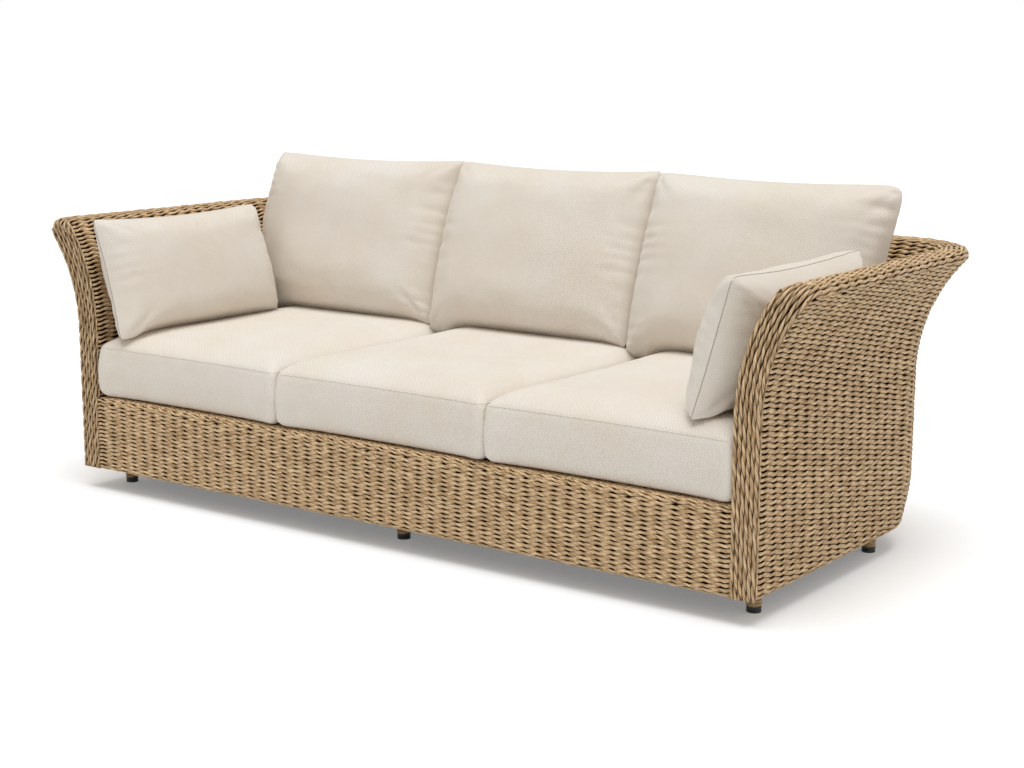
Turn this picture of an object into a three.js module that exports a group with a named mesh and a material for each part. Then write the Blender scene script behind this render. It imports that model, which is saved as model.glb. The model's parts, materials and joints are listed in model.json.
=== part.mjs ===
// Rattan garden sofa: a woven shell with flared arms and back over a tube frame,
// loose seat, back and lumbar cushions, and six legs on levelling glides.
// Millimetres, +Z up, X along the sofa, +Y to the back.
// Every outline is drawn in "front coordinates", where Y = 0 is the front face of the arms.
import * as THREE from 'three';

// Whole sofa
const base_width = 2100;
const base_depth = 915;
const base_clearance = 58;
const apron_height = 202;
const rim_height = 741.6;
const fit_gap = 0.3;

// Woven skin
const weave_thickness = 11;
const arm_thickness = 63;
const arm_bottom_radius = 12;
const rear_bottom_radius = 100;
const bottom_lip = 24;
const corner_radius = 150;
const corner_lead = 60;
const corner_steps = 9;
const arm_flare_height = 291.6;
const rear_flare_height = 326.6;
const arm_nose_reach = 90.5;
const rear_nose_reach = 98;
const nose_radius = 18;
const shoulder_radius = 30;
const rim_flat = 36.5;
const arc_steps = 7;
const small_arc_steps = 4;

// Front bands and apron
const band_thickness = 14;
const band_bevel = 5;
const apron_top_lip = 46;
const apron_edge_radius = 13;

// Frame tube
const tube_wall = 1.8;
const base_tube_width = 25;
const base_tube_height = 25;
const bearer_width = 40;
const seat_tube = 30;
const post_across = 25;
const post_along = 30;
const rail_radius = 14;
const rail_sides = 12;
const band_clearance = 0.6;
const rear_post_back_off = 16;
const back_post_x = 329;
const back_post_bend = 70;
const bend_ease_share = 0.25;
const post_steps = 8;
const rear_seat_rail_cover = 15;
const seat_rail_overlap = 13;

// Webbing deck
const strap_width = 58;
const strap_columns = 7;
const strap_rows = 6;
const deck_margin = 5;

// Legs and glides
const leg_inset_x = 63;
const leg_front_y = 118;
const leg_rear_inset = 214;
const leg_radius = 18;
const leg_wall_end = 9;
const leg_sides = 20;
const pad_height = 14;
const pad_radius = 16.7;
const pad_edge = 1.6;
const pad_floor = 6;
const stud_radius = 4;
const stud_clearance = 0.4;
const stud_length = 40;
const stud_sides = 12;

// Cushions
const outline_turns = 44;

// Seat cushions
const cushion_count = 3;
const cushion_gap = 2;
const seat_cushion_set_back = 5;
const seat_cushion_rear_gap = 20;
const seat_cushion_seam_rise = 149;
const seat_crown = 27;
const seat_corner_radius = 28;
const seat_edge_radius = 26;
const seat_cushion_draw = 7;
const deck_gap = 0.5;
// Up the side of a seat cushion: shares of the edge radius drawn in, and of the seam's height.
const seat_side_shares = [[0.5, 0], [0.08, 0.07], [0, 0.5], [0.17, 0.91], [0.5, 1]];
// Over its top: shares of the outline, and of the crown's height.
const seat_crown_shares = [[0.95, 0.32], [0.86, 0.66], [0.7, 0.88], [0.45, 0.98], [0.16, 1]];

// Back cushions
const back_cushion_height = 488;
const back_cushion_thickness = 205;
const back_cushion_front_share = 0.46;
const back_cushion_draw = 16;
const back_cushion_corner = 30;
const back_cushion_foot_inset = 158;
const middle_back_cushion_width = 656;
const outer_back_cushion_width = 698;
const back_cushion_lean = THREE.MathUtils.degToRad(20);
const back_cushion_shift = -50;
const soft_gap = 0.4;
const wall_gap = 1;
const soft_sink = 6;
const foot_reach = 14;
// From the middle of a knife-edge face to its seam: shares of the outline, and of the crown.
const knife_face_shares = [[0.2, 1], [0.5, 0.95], [0.75, 0.78], [0.9, 0.52], [0.975, 0.24]];
const corner_fade_power = 3;
// How a quarter of an outline is shared out: side, then corner up to the second share, then side.
const corner_span_shares = [0.36, 0.64];

// Lumbar pillows
const pillow_length = 606;
const pillow_height = 336;
const pillow_thickness = 170;
const pillow_front_share = 0.5;
const pillow_draw = 16;
const pillow_corner = 26;
const pillow_front_y = 28;
const pillow_foot_inset = 182;
const pillow_lean = THREE.MathUtils.degToRad(17);
const left_pillow_out = 20;
const left_pillow_forward = 15;

// Places that follow from the sizes above
const half_width = base_width / 2;
const inner_half_width = half_width - arm_thickness;
const apron_top = base_clearance + apron_height;
const lip_top = base_clearance + weave_thickness;
const base_tube_bottom = lip_top + fit_gap;
const base_tube_top = base_tube_bottom + base_tube_height;
const deck_bottom = apron_top - weave_thickness;
const seat_tube_top = deck_bottom - fit_gap;
const seat_tube_bottom = seat_tube_top - seat_tube;
const frame_front = band_thickness + band_clearance;
const leg_rear_y = base_depth - leg_rear_inset;
const corner_x = half_width - corner_radius;
const corner_y = base_depth - corner_radius;
const arm_end = corner_y - corner_lead;
const inner_back = base_depth - arm_thickness;
const overall_depth = base_depth + rear_nose_reach + nose_radius;
const seat_bottom = apron_top + deck_gap;
const seat_cushion_depth = inner_back - seat_cushion_rear_gap - seat_cushion_set_back;
const crown_height = seat_bottom + seat_cushion_seam_rise + seat_crown;
const seat_pitch = (2 * inner_half_width - cushion_gap) / cushion_count;
const seat_half_width = (seat_pitch - cushion_gap) / 2;

const sofa = new THREE.Group();
sofa.position.y = -overall_depth / 2;

// Materials
const finish = (color, roughness, metalness) => (
  new THREE.MeshStandardMaterial({ color, roughness, metalness }));
const wicker = finish(0xb89468, 0.75, 0);
const tube_paint = finish(0x4a3a2c, 0.45, 0.6);
const webbing = finish(0x6f6a60, 0.85, 0);
const canvas = finish(0xe3dacb, 0.9, 0);
const pad_plastic = finish(0x151515, 0.5, 0);
const stud_steel = finish(0xb4b6b8, 0.35, 1);

function add(name, geometry, material) {
  const mesh = new THREE.Mesh(geometry, material);
  mesh.name = name;
  sofa.add(mesh);
  return mesh;
}

/** Triangles that close a flat ring of points, turned the way the ring runs. */
function capFaces(ring) {
  const normal = new THREE.Vector3();
  ring.forEach((p, i) => {
    const q = ring[(i + 1) % ring.length];
    normal.add(new THREE.Vector3().crossVectors(p, q));
  });
  normal.normalize();
  const across = new THREE.Vector3().subVectors(ring[1], ring[0]).cross(normal).normalize();
  const along = new THREE.Vector3().crossVectors(normal, across);
  const flat = ring.map((p) => new THREE.Vector2(p.dot(across), p.dot(along)));
  return THREE.ShapeUtils.triangulateShape(flat, []);
}

/** Turns a closed surface so that its faces point out. */
function facingOut(positions, index) {
  const corner = (i) => new THREE.Vector3().fromArray(positions, index[i] * 3);
  let volume = 0;
  for (let i = 0; i < index.length; i += 3) volume += corner(i).dot(corner(i + 1).cross(corner(i + 2)));
  if (volume < 0) {
    for (let i = 0; i < index.length; i += 3) [index[i + 1], index[i + 2]] = [index[i + 2], index[i + 1]];
  }
  const geometry = new THREE.BufferGeometry();
  geometry.setAttribute('position', new THREE.Float32BufferAttribute(positions, 3));
  geometry.setIndex(index);
  geometry.computeVertexNormals();
  return geometry;
}

/** A closed solid through rings of points. A looped one joins its last ring to its first, like a tube. */
function loft(rings, looped = false) {
  const count = rings[0].length;
  const positions = rings.flatMap((ring) => ring.flatMap((p) => [p.x, p.y, p.z]));
  const index = [];
  const spans = looped ? rings.length : rings.length - 1;
  for (let r = 0; r < spans; r++) {
    const near = r * count;
    const far = ((r + 1) % rings.length) * count;
    for (let i = 0; i < count; i++) {
      const j = (i + 1) % count;
      index.push(near + i, near + j, far + j, near + i, far + j, far + i);
    }
  }
  if (!looped) {
    const last = (rings.length - 1) * count;
    for (const [a, b, c] of capFaces(rings[0])) index.push(c, b, a);
    for (const [a, b, c] of capFaces(rings[rings.length - 1])) index.push(last + a, last + b, last + c);
  }
  return facingOut(positions, index);
}

/** Points of an arc, in a plane of two axes. */
function arc(centre_u, centre_v, radius, from, to, steps) {
  const points = [];
  for (let i = 0; i <= steps; i++) {
    const angle = from + ((to - from) * i) / steps;
    points.push(new THREE.Vector2(centre_u + radius * Math.cos(angle), centre_v + radius * Math.sin(angle)));
  }
  return points;
}

// The wall section: u is measured out from the straight outer face, z is height.
const sideShape = {
  bottom_radius: arm_bottom_radius,
  flare_start: rim_height - arm_flare_height,
  nose_reach: arm_nose_reach,
};
const rearShape = {
  bottom_radius: rear_bottom_radius,
  flare_start: rim_height - rear_flare_height,
  nose_reach: rear_nose_reach,
};

function mixShape(share) {
  const mixed = {};
  for (const key of Object.keys(sideShape)) {
    mixed[key] = THREE.MathUtils.lerp(sideShape[key], rearShape[key], share);
  }
  return mixed;
}

/** Centres and radii of the arcs that make one wall section. */
function sectionArcs(shape) {
  const nose = new THREE.Vector2(shape.nose_reach, rim_height - nose_radius);
  const shoulder = new THREE.Vector2(shape.nose_reach - rim_flat, rim_height - shoulder_radius);
  const nose_rise = nose.y - shape.flare_start;
  const shoulder_rise = shoulder.y - shape.flare_start;
  const outer_radius = (nose.x ** 2 + nose_rise ** 2 - nose_radius ** 2) / (2 * (nose.x + nose_radius));
  const run = -arm_thickness - shoulder.x;
  const inner_radius = (shoulder_radius ** 2 - run ** 2 - shoulder_rise ** 2) / (2 * (run + shoulder_radius));
  const outer = new THREE.Vector2(outer_radius, shape.flare_start);
  const inner = new THREE.Vector2(inner_radius - arm_thickness, shape.flare_start);
  return { nose, shoulder, outer, outer_radius, inner, inner_radius };
}

/** One face of the woven wall, from its tucked-in lip over the rim to the seat, set in by inset. */
function skinLine(shape, inset) {
  const { nose, shoulder, outer, outer_radius, inner, inner_radius } = sectionArcs(shape);
  const bottom = shape.bottom_radius;
  const nose_from = Math.atan2(outer.y - nose.y, outer.x - nose.x);
  const shoulder_to = Math.atan2(shoulder.y - inner.y, shoulder.x - inner.x);
  const outer_to = nose_from + Math.PI;
  return [
    new THREE.Vector2(-bottom - bottom_lip, base_clearance + inset),
    ...arc(-bottom, base_clearance + bottom, bottom - inset, -Math.PI / 2, 0, small_arc_steps),
    ...arc(outer.x, outer.y, outer_radius + inset, Math.PI, outer_to, arc_steps),
    ...arc(nose.x, nose.y, nose_radius - inset, nose_from, Math.PI / 2, small_arc_steps).slice(1),
    ...arc(shoulder.x, shoulder.y, shoulder_radius - inset, Math.PI / 2, shoulder_to, small_arc_steps),
    ...arc(inner.x, inner.y, inner_radius - inset, shoulder_to, Math.PI, arc_steps).slice(1),
    new THREE.Vector2(-arm_thickness + inset, deck_bottom),
  ];
}

const wallSection = (shape) => [...skinLine(shape, 0), ...skinLine(shape, weave_thickness).reverse()];

/** How far out the wall's middle line lies at a height. */
function middleLine(shape, height) {
  const { outer, outer_radius, inner, inner_radius } = sectionArcs(shape);
  const rise = Math.max(height - shape.flare_start, 0);
  const outside = outer.x - Math.sqrt(outer_radius ** 2 - rise ** 2);
  const inside = inner.x - Math.sqrt(inner_radius ** 2 - rise ** 2);
  return (outside + inside) / 2;
}

// Places of a wall section: side = 1 is the right-hand arm, -1 the left-hand one.
const onSide = (side, y) => (p) => new THREE.Vector3(side * (half_width + p.x), y, p.y);
const onBack = (x) => (p) => new THREE.Vector3(x, base_depth + p.x, p.y);
const onCorner = (side, angle) => (p) => {
  const reach = corner_radius + p.x;
  const x = corner_x + reach * Math.cos(angle);
  return new THREE.Vector3(side * x, corner_y + reach * Math.sin(angle), p.y);
};

/** The stations round a rear corner, each with its section and place. */
function cornerStations(side) {
  const lead_share = corner_lead / (corner_lead + (corner_radius * Math.PI) / 2);
  const stations = [{ shape: mixShape(0), place: onSide(side, arm_end + fit_gap) }];
  for (let i = 0; i <= corner_steps; i++) {
    const share = i / corner_steps;
    const blend = THREE.MathUtils.smoothstep(lead_share + (1 - lead_share) * share, 0, 1);
    stations.push({ shape: mixShape(blend), place: onCorner(side, (share * Math.PI) / 2) });
  }
  return stations;
}

function armWeave(side) {
  const section = wallSection(sideShape);
  return loft([frame_front, arm_end].map((y) => section.map(onSide(side, y))));
}

function cornerWeave(side) {
  return loft(cornerStations(side).map(({ shape, place }) => wallSection(shape).map(place)));
}

function backWeave() {
  const section = wallSection(rearShape);
  const reach = corner_x - fit_gap;
  return loft([-reach, reach].map((x) => section.map(onBack(x))));
}

/** The front band: the arm's outline, cut straight across its foot, with rounded edges. */
function postBand(side) {
  const skin = skinLine(sideShape, band_bevel);
  const outline = skin.slice(1, -1);
  const foot = base_clearance + band_bevel;
  outline.push(new THREE.Vector2(-arm_thickness + band_bevel, foot));
  const shape = new THREE.Shape(outline.map((p) => new THREE.Vector2(p.x, p.y)));
  const geometry = new THREE.ExtrudeGeometry(shape, {
    depth: band_thickness - 2 * band_bevel,
    bevelThickness: band_bevel,
    bevelSize: band_bevel,
    bevelSegments: 2,
    curveSegments: 1,
  });
  geometry.rotateX(Math.PI / 2);
  geometry.translate(half_width, band_thickness - band_bevel, 0);
  if (side < 0) mirrorAcross(geometry);
  return geometry;
}

/** Mirrors a solid in the middle plane of the sofa and keeps its faces pointing out. */
function mirrorAcross(geometry) {
  geometry.scale(-1, 1, 1);
  const position = geometry.attributes.position;
  for (let i = 0; i < position.count; i += 3) {
    const b = new THREE.Vector3().fromBufferAttribute(position, i + 1);
    const c = new THREE.Vector3().fromBufferAttribute(position, i + 2);
    position.setXYZ(i + 1, c.x, c.y, c.z);
    position.setXYZ(i + 2, b.x, b.y, b.z);
  }
}

/** The woven front panel between the bands: a wall with a lip below and a rolled edge over the seat rail. */
function apronWeave() {
  const radius = apron_edge_radius;
  const half = inner_half_width - fit_gap;
  const face = (inset) => [
    new THREE.Vector2(arm_bottom_radius + bottom_lip, base_clearance + inset),
    ...arc(arm_bottom_radius, base_clearance + arm_bottom_radius, arm_bottom_radius - inset,
      -Math.PI / 2, -Math.PI, small_arc_steps),
    ...arc(radius, apron_top - radius, radius - inset, Math.PI, Math.PI / 2, small_arc_steps),
    new THREE.Vector2(apron_top_lip, apron_top - inset),
  ];
  const section = [...face(0), ...face(weave_thickness).reverse()];
  return loft([-half, half].map((x) => section.map((p) => new THREE.Vector3(x, p.x, p.y))));
}

// Frame

/** A straight box-section tube between two corners of its box, open at its ends along one axis. */
function boxTube(low, high, axis) {
  const others = ['x', 'y', 'z'].filter((name) => name !== axis);
  const ring = (inset, at) => {
    const shares = [[0, 0], [1, 0], [1, 1], [0, 1]];
    return shares.map(([a, b]) => {
      const p = new THREE.Vector3();
      p[others[0]] = a ? high[others[0]] - inset : low[others[0]] + inset;
      p[others[1]] = b ? high[others[1]] - inset : low[others[1]] + inset;
      p[axis] = at;
      return p;
    });
  };
  const ends = [low[axis], high[axis]];
  return loft([ring(0, ends[0]), ring(0, ends[1]), ring(tube_wall, ends[1]), ring(tube_wall, ends[0])], true);
}

const at = (x, y, z) => new THREE.Vector3(x, y, z);

function railX(name, half, y, width, bottom, height) {
  add(name, boxTube(at(-half, y, bottom), at(half, y + width, bottom + height), 'x'), tube_paint);
}

function baseFrame() {
  const outer = half_width - weave_thickness - fit_gap;
  const inner = outer - base_tube_width;
  const reach = inner - fit_gap;
  for (const [word, side] of [['left', -1], ['right', 1]]) {
    const xs = [side * inner, side * outer].sort((a, b) => a - b);
    const low = at(xs[0], frame_front, base_tube_bottom);
    const high = at(xs[1], arm_end, base_tube_top);
    add(`base_rail_${word}`, boxTube(low, high, 'y'), tube_paint);
  }
  railX('base_rail_front', reach, frame_front, base_tube_width, base_tube_bottom, base_tube_height);
  const rear = base_depth - rear_bottom_radius - base_tube_width;
  railX('base_rail_rear', corner_x - fit_gap, rear, base_tube_width, base_tube_bottom, base_tube_height);
  for (const [word, y] of [['front', leg_front_y], ['rear', leg_rear_y]]) {
    const start = y - bearer_width / 2;
    railX(`base_crossbar_${word}`, reach, start, bearer_width, base_tube_bottom, base_tube_height);
    const low = at(-seat_tube / 2, y - seat_tube / 2, base_tube_top + fit_gap);
    const high = at(seat_tube / 2, y + seat_tube / 2, seat_tube_bottom - fit_gap);
    add(`seat_strut_${word}`, boxTube(low, high, 'z'), tube_paint);
  }
}

const post_inner_x = half_width - arm_thickness / 2 - post_across / 2;
const rear_rail_back = inner_back + rear_seat_rail_cover;
const rear_rail_front = rear_rail_back - seat_tube;

function seatFrame() {
  const outer = post_inner_x - fit_gap;
  const inner = outer - seat_tube;
  const front_end = frame_front + seat_tube + fit_gap;
  for (const [word, side] of [['left', -1], ['right', 1]]) {
    const xs = [side * inner, side * outer].sort((a, b) => a - b);
    const low = at(xs[0], front_end, seat_tube_bottom);
    const high = at(xs[1], rear_rail_front + seat_rail_overlap, seat_tube_top);
    add(`seat_rail_${word}`, boxTube(low, high, 'y'), tube_paint);
  }
  railX('seat_rail_front', outer, frame_front, seat_tube, seat_tube_bottom, seat_tube);
  railX('seat_rail_rear', inner - fit_gap, rear_rail_front, seat_tube, seat_tube_bottom, seat_tube);
  const low = at(-seat_tube / 2, front_end, seat_tube_bottom);
  const high = at(seat_tube / 2, rear_rail_front - fit_gap, seat_tube_top);
  add('seat_bar_middle', boxTube(low, high, 'y'), tube_paint);
}

const rail_height = rim_height - weave_thickness - fit_gap - rail_radius;

/** A hollow upright through stations of middle point, direction along it, and direction across the wall. */
function bentPost(stations, along) {
  const ring = (inset) => ({ middle, across }) => {
    const half_across = post_across / 2 - inset;
    const half_along = post_along / 2 - inset;
    const signs = [[-1, -1], [1, -1], [1, 1], [-1, 1]];
    return signs.map(([a, b]) => middle.clone()
      .addScaledVector(across, a * half_across)
      .addScaledVector(along, b * half_along));
  };
  const outer = stations.map(ring(0));
  const inner = stations.map(ring(tube_wall)).reverse();
  return loft([...outer, ...inner], true);
}

/** Points up the middle line of a wall section, from a height to the underside of the top rail. */
function uprightLine(shape, bottom) {
  const rail = new THREE.Vector2(middleLine(shape, rail_height), rail_height);
  const below = rail_height - rail_radius;
  const slope = new THREE.Vector2(rail.x - middleLine(shape, below), rail_radius).normalize();
  const top = rail.clone().addScaledVector(slope, -rail_radius - fit_gap * 2);
  const line = [new THREE.Vector2(middleLine(shape, bottom), bottom)];
  for (let i = 0; i < post_steps; i++) {
    const z = THREE.MathUtils.lerp(shape.flare_start, top.y, i / post_steps);
    line.push(new THREE.Vector2(middleLine(shape, z), z));
  }
  line.push(top);
  return { line, slope };
}

/** Turns a line in the wall's own plane into stations with the direction across the wall. */
function stationsAlong(line, last_slope, place) {
  const origin = place(new THREE.Vector2(0, 0));
  return line.map((p, i) => {
    const next = line[Math.min(i + 1, line.length - 1)];
    const before = line[Math.max(i - 1, 0)];
    const chord = new THREE.Vector2().subVectors(next, before).normalize();
    const slope = i === line.length - 1 ? last_slope : chord;
    const level = i === 0 ? new THREE.Vector2(1, 0) : new THREE.Vector2(slope.y, -slope.x);
    const across = place(level).sub(origin);
    return { middle: place(p), across };
  });
}

function armPosts() {
  const along = at(0, 1, 0);
  const places = [
    ['front', frame_front + post_along / 2],
    ['rear', arm_end - rear_post_back_off - post_along / 2],
  ];
  for (const [word, side] of [['left', -1], ['right', 1]]) {
    for (const [end, y] of places) {
      const { line, slope } = uprightLine(sideShape, base_tube_top + fit_gap);
      const stations = stationsAlong(line, slope, onSide(side, y));
      add(`${end}_post_${word}`, bentPost(stations, along), tube_paint);
    }
  }
}

/** The back uprights stand on the rear base rail and bend back into the wall behind the seat rail. */
function backPosts() {
  const foot = base_tube_top + fit_gap;
  const foot_u = -rear_bottom_radius - base_tube_width / 2;
  const wall_u = -arm_thickness / 2;
  const bend_top = foot + back_post_bend;
  const { line, slope } = uprightLine(rearShape, seat_tube_top);
  const bend = new THREE.CubicBezierCurve(
    new THREE.Vector2(foot_u, foot),
    new THREE.Vector2(foot_u, foot + back_post_bend * bend_ease_share),
    new THREE.Vector2(wall_u, bend_top - back_post_bend * bend_ease_share),
    new THREE.Vector2(wall_u, bend_top),
  );
  const whole = [...bend.getPoints(post_steps), ...line];
  for (const [word, side] of [['left', -1], ['right', 1]]) {
    const stations = stationsAlong(whole, slope, onBack(side * back_post_x));
    add(`back_post_${word}`, bentPost(stations, at(1, 0, 0)), tube_paint);
  }
}

/** A hollow round tube through places, each a function from the wall's plane to the sofa. */
function roundTube(stations) {
  const ring = (inset) => ({ shape, place }) => {
    const u = middleLine(shape, rail_height);
    return arc(u, rail_height, rail_radius - inset, 0, 2 * Math.PI, rail_sides).slice(1).map(place);
  };
  const outer = stations.map(ring(0));
  const inner = stations.map(ring(tube_wall)).reverse();
  return loft([...outer, ...inner], true);
}

function topRails() {
  for (const [word, side] of [['left', -1], ['right', 1]]) {
    const ends = [frame_front, arm_end].map((y) => ({ shape: sideShape, place: onSide(side, y) }));
    add(`top_rail_${word}`, roundTube(ends), tube_paint);
  }
  const stations = [...cornerStations(-1), ...cornerStations(1).reverse()];
  add('top_rail_back', roundTube(stations), tube_paint);
}

/** A flat plate made of the cells of a grid that are kept, in one piece. */
function cellPlate(xs, ys, kept, bottom, top) {
  const columns = xs.length;
  const positions = [];
  for (const z of [bottom, top]) for (const y of ys) for (const x of xs) positions.push(x, y, z);
  const corner = (i, j, level) => level * columns * ys.length + j * columns + i;
  const solid = (i, j) => i >= 0 && j >= 0 && i < columns - 1 && j < ys.length - 1 && kept(i, j);
  const index = [];
  const face = (a, b, c, d) => index.push(a, b, c, a, c, d);
  for (let i = 0; i < columns - 1; i++) {
    for (let j = 0; j < ys.length - 1; j++) {
      if (!solid(i, j)) continue;
      const low = [corner(i, j, 0), corner(i + 1, j, 0), corner(i + 1, j + 1, 0), corner(i, j + 1, 0)];
      const high = [corner(i, j, 1), corner(i + 1, j, 1), corner(i + 1, j + 1, 1), corner(i, j + 1, 1)];
      face(high[0], high[1], high[2], high[3]);
      face(low[3], low[2], low[1], low[0]);
      const beside = [[i, j - 1], [i + 1, j], [i, j + 1], [i - 1, j]];
      beside.forEach(([p, q], side) => {
        const next = (side + 1) % 4;
        if (!solid(p, q)) face(low[side], low[next], high[next], high[side]);
      });
    }
  }
  return onlyUsed(positions, index);
}

/** Drops the points that no face uses. */
function onlyUsed(positions, index) {
  const places = new Map();
  const kept = [];
  const renumbered = index.map((i) => {
    if (!places.has(i)) {
      places.set(i, places.size);
      kept.push(...positions.slice(3 * i, 3 * i + 3));
    }
    return places.get(i);
  });
  return facingOut(kept, renumbered);
}

/** Lines of a grid that runs strap, gap, strap, from one edge to the other. */
function strapLines(from, to, gaps) {
  const pitch = (to - from - strap_width) / gaps;
  const lines = [];
  for (let i = 0; i <= gaps; i++) lines.push(from + i * pitch, from + i * pitch + strap_width);
  return lines;
}

/** Half of the webbing deck: crossed straps with open squares between, notched at the rear corner
 *  where the wall turns, with the square before the notch closed. */
function seatDeck(side) {
  const x0 = fit_gap / 2;
  const x1 = inner_half_width - deck_margin;
  const y0 = apron_top_lip + fit_gap;
  const y1 = inner_back - deck_margin;
  const xs = strapLines(x0, x1, strap_columns);
  const ys = strapLines(y0, y1, strap_rows);
  const notched = (i, j) => i === xs.length - 2 && j === ys.length - 2;
  const strapped = (i, j) => i % 2 === 0 || j % 2 === 0 || notched(i + 1, j + 1);
  const kept = (i, j) => strapped(i, j) && !notched(i, j);
  return cellPlate(xs.map((x) => side * x), ys, kept, deck_bottom, apron_top);
}

// Legs and glides

function turned(profile, sides, x, y) {
  const points = profile.map(([r, z]) => new THREE.Vector2(r, z)).reverse();
  const geometry = new THREE.LatheGeometry(points, sides);
  geometry.rotateX(Math.PI / 2);
  geometry.translate(x, y, 0);
  return geometry;
}

function leg(x, y) {
  const bottom = pad_height;
  const top = base_tube_bottom - fit_gap;
  const bore = stud_radius + stud_clearance;
  return turned([
    [0, top],
    [leg_radius, top],
    [leg_radius, bottom],
    [bore, bottom],
    [bore, top - leg_wall_end],
    [0, top - leg_wall_end],
  ], leg_sides, x, y);
}

function glidePad(x, y) {
  const top = pad_height - fit_gap;
  const bore = stud_radius + stud_clearance;
  return turned([
    [0, pad_floor],
    [bore, pad_floor],
    [bore, top],
    [pad_radius - pad_edge, top],
    [pad_radius, top - pad_edge],
    [pad_radius, pad_edge],
    [pad_radius - pad_edge, 0],
    [0, 0],
  ], leg_sides, x, y);
}

function glideStud(x, y) {
  const foot = pad_floor + fit_gap;
  return turned([
    [0, foot + stud_length],
    [stud_radius - fit_gap, foot + stud_length],
    [stud_radius, foot + stud_length - fit_gap],
    [stud_radius, foot],
    [0, foot],
  ], stud_sides, x, y);
}

function legsAndGlides() {
  const columns = [['left', -half_width + leg_inset_x], ['middle', 0], ['right', half_width - leg_inset_x]];
  for (const [row, y] of [['front', leg_front_y], ['rear', leg_rear_y]]) {
    for (const [column, x] of columns) {
      add(`leg_${row}_${column}`, leg(x, y), wicker);
      add(`glide_pad_${row}_${column}`, glidePad(x, y), pad_plastic);
      add(`glide_stud_${row}_${column}`, glideStud(x, y), stud_steel);
    }
  }
}

// Cushions

/** A point of a cushion's outline: a rounded rectangle whose sides draw in between the corners. */
function outlinePoint(turn, half_x, half_y, corner, draw) {
  const reach_x = half_x - corner;
  const reach_y = half_y - corner;
  const quarter = Math.floor(turn * 4) % 4;
  const share = turn * 4 - Math.floor(turn * 4);
  const [first, second] = corner_span_shares;
  const quarters = [[1, 1], [-1, 1], [-1, -1], [1, -1]];
  const [sx, sy] = quarters[quarter];
  const even = quarter % 2 === 0;
  const start = quarter * (Math.PI / 2);
  let x = sx * reach_x;
  let y = sy * reach_y;
  if (share < first) {
    const run = share / first;
    const pull = draw * (1 - run * run);
    if (even) {
      y = sy * reach_y * run;
      x = sx * (half_x - pull);
    } else {
      x = sx * reach_x * run;
      y = sy * (half_y - pull);
    }
  } else if (share <= second) {
    const angle = start + ((share - first) / (second - first)) * (Math.PI / 2);
    x += corner * Math.cos(angle);
    y += corner * Math.sin(angle);
  } else {
    const run = (1 - share) / (1 - second);
    const pull = draw * (1 - run * run);
    if (even) {
      x = sx * reach_x * run;
      y = sy * (half_y - pull);
    } else {
      y = sy * reach_y * run;
      x = sx * (half_x - pull);
    }
  }
  return new THREE.Vector2(x, y);
}

/** A soft solid from levels: each has a share of the outline, how much it keeps the corners, and a height. */
function softSolid(half_x, half_y, corner, draw, levels, place) {
  const rings = levels.map(({ share, keep, height }) => {
    const ring = [];
    for (let i = 0; i < outline_turns; i++) {
      const turn = i / outline_turns;
      const edge = outlinePoint(turn, half_x, half_y, corner, draw);
      const angle = Math.atan2(edge.y / half_y, edge.x / half_x);
      const round = new THREE.Vector2(half_x * Math.cos(angle), half_y * Math.sin(angle));
      const flat = round.lerp(edge, keep).multiplyScalar(share);
      ring.push(place(new THREE.Vector3(flat.x, flat.y, height)));
    }
    return ring;
  });
  return loft(rings);
}

/** Box cushion: flat bottom, bulging side, seam below a rounded top edge, crowned top. */
function seatLevels(half) {
  const edge = seat_edge_radius / half;
  const side = seat_side_shares.map(([drawn, rise]) => (
    { share: 1 - edge * drawn, keep: 1, height: seat_cushion_seam_rise * rise }));
  const seam = side[side.length - 1];
  const crown = seat_crown_shares.map(([share, rise]) => (
    { share: share * seam.share, keep: 1, height: seam.height + rise * seat_crown }));
  return [...side, ...crown];
}

/** Where the middle of a seat cushion lies along the sofa, from its number. */
const seatMiddle = (i) => (i - (cushion_count - 1) / 2) * seat_pitch;

function seatCushions() {
  const half_y = seat_cushion_depth / 2;
  const middle_y = seat_cushion_set_back + half_y;
  const names = ['left', 'middle', 'right'];
  const levels = seatLevels(seat_half_width);
  names.forEach((word, i) => {
    const place = (p) => pressed(at(seatMiddle(i) + p.x, middle_y + p.y, seat_bottom + p.z));
    const solid = softSolid(seat_half_width, half_y, seat_corner_radius, seat_cushion_draw, levels, place);
    add(`seat_cushion_${word}`, solid, canvas);
  });
}

/** How high the seat cushions' tops are at a place. */
function seatTop(point) {
  const half_y = seat_cushion_depth / 2;
  const number = Math.floor(point.x / seat_pitch + cushion_count / 2);
  const middle = seatMiddle(THREE.MathUtils.clamp(number, 0, cushion_count - 1));
  const across = Math.abs(point.x - middle) / seat_half_width;
  const along = Math.abs(point.y - seat_cushion_set_back - half_y) / half_y;
  const share = Math.max(across, along);
  const levels = seatLevels(seat_half_width);
  const inner = levels.findIndex((level, i) => i >= seat_side_shares.length && level.share <= share);
  if (inner < 0) return crown_height;
  const outer = levels[inner - 1];
  const part = THREE.MathUtils.clamp((outer.share - share) / (outer.share - levels[inner].share), 0, 1);
  return seat_bottom + THREE.MathUtils.lerp(outer.height, levels[inner].height, part);
}

/** Knife-edge cushion: two crowned faces that meet in a seam. */
function knifeLevels(thickness, front_share) {
  const face = (depth) => knife_face_shares.map(([share, rise]) => (
    { share, keep: share ** corner_fade_power, height: depth * rise }));
  const back = face(-thickness * (1 - front_share));
  const front = face(thickness * front_share);
  return [...back, { share: 1, keep: 1, height: 0 }, ...front.reverse()];
}

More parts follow.
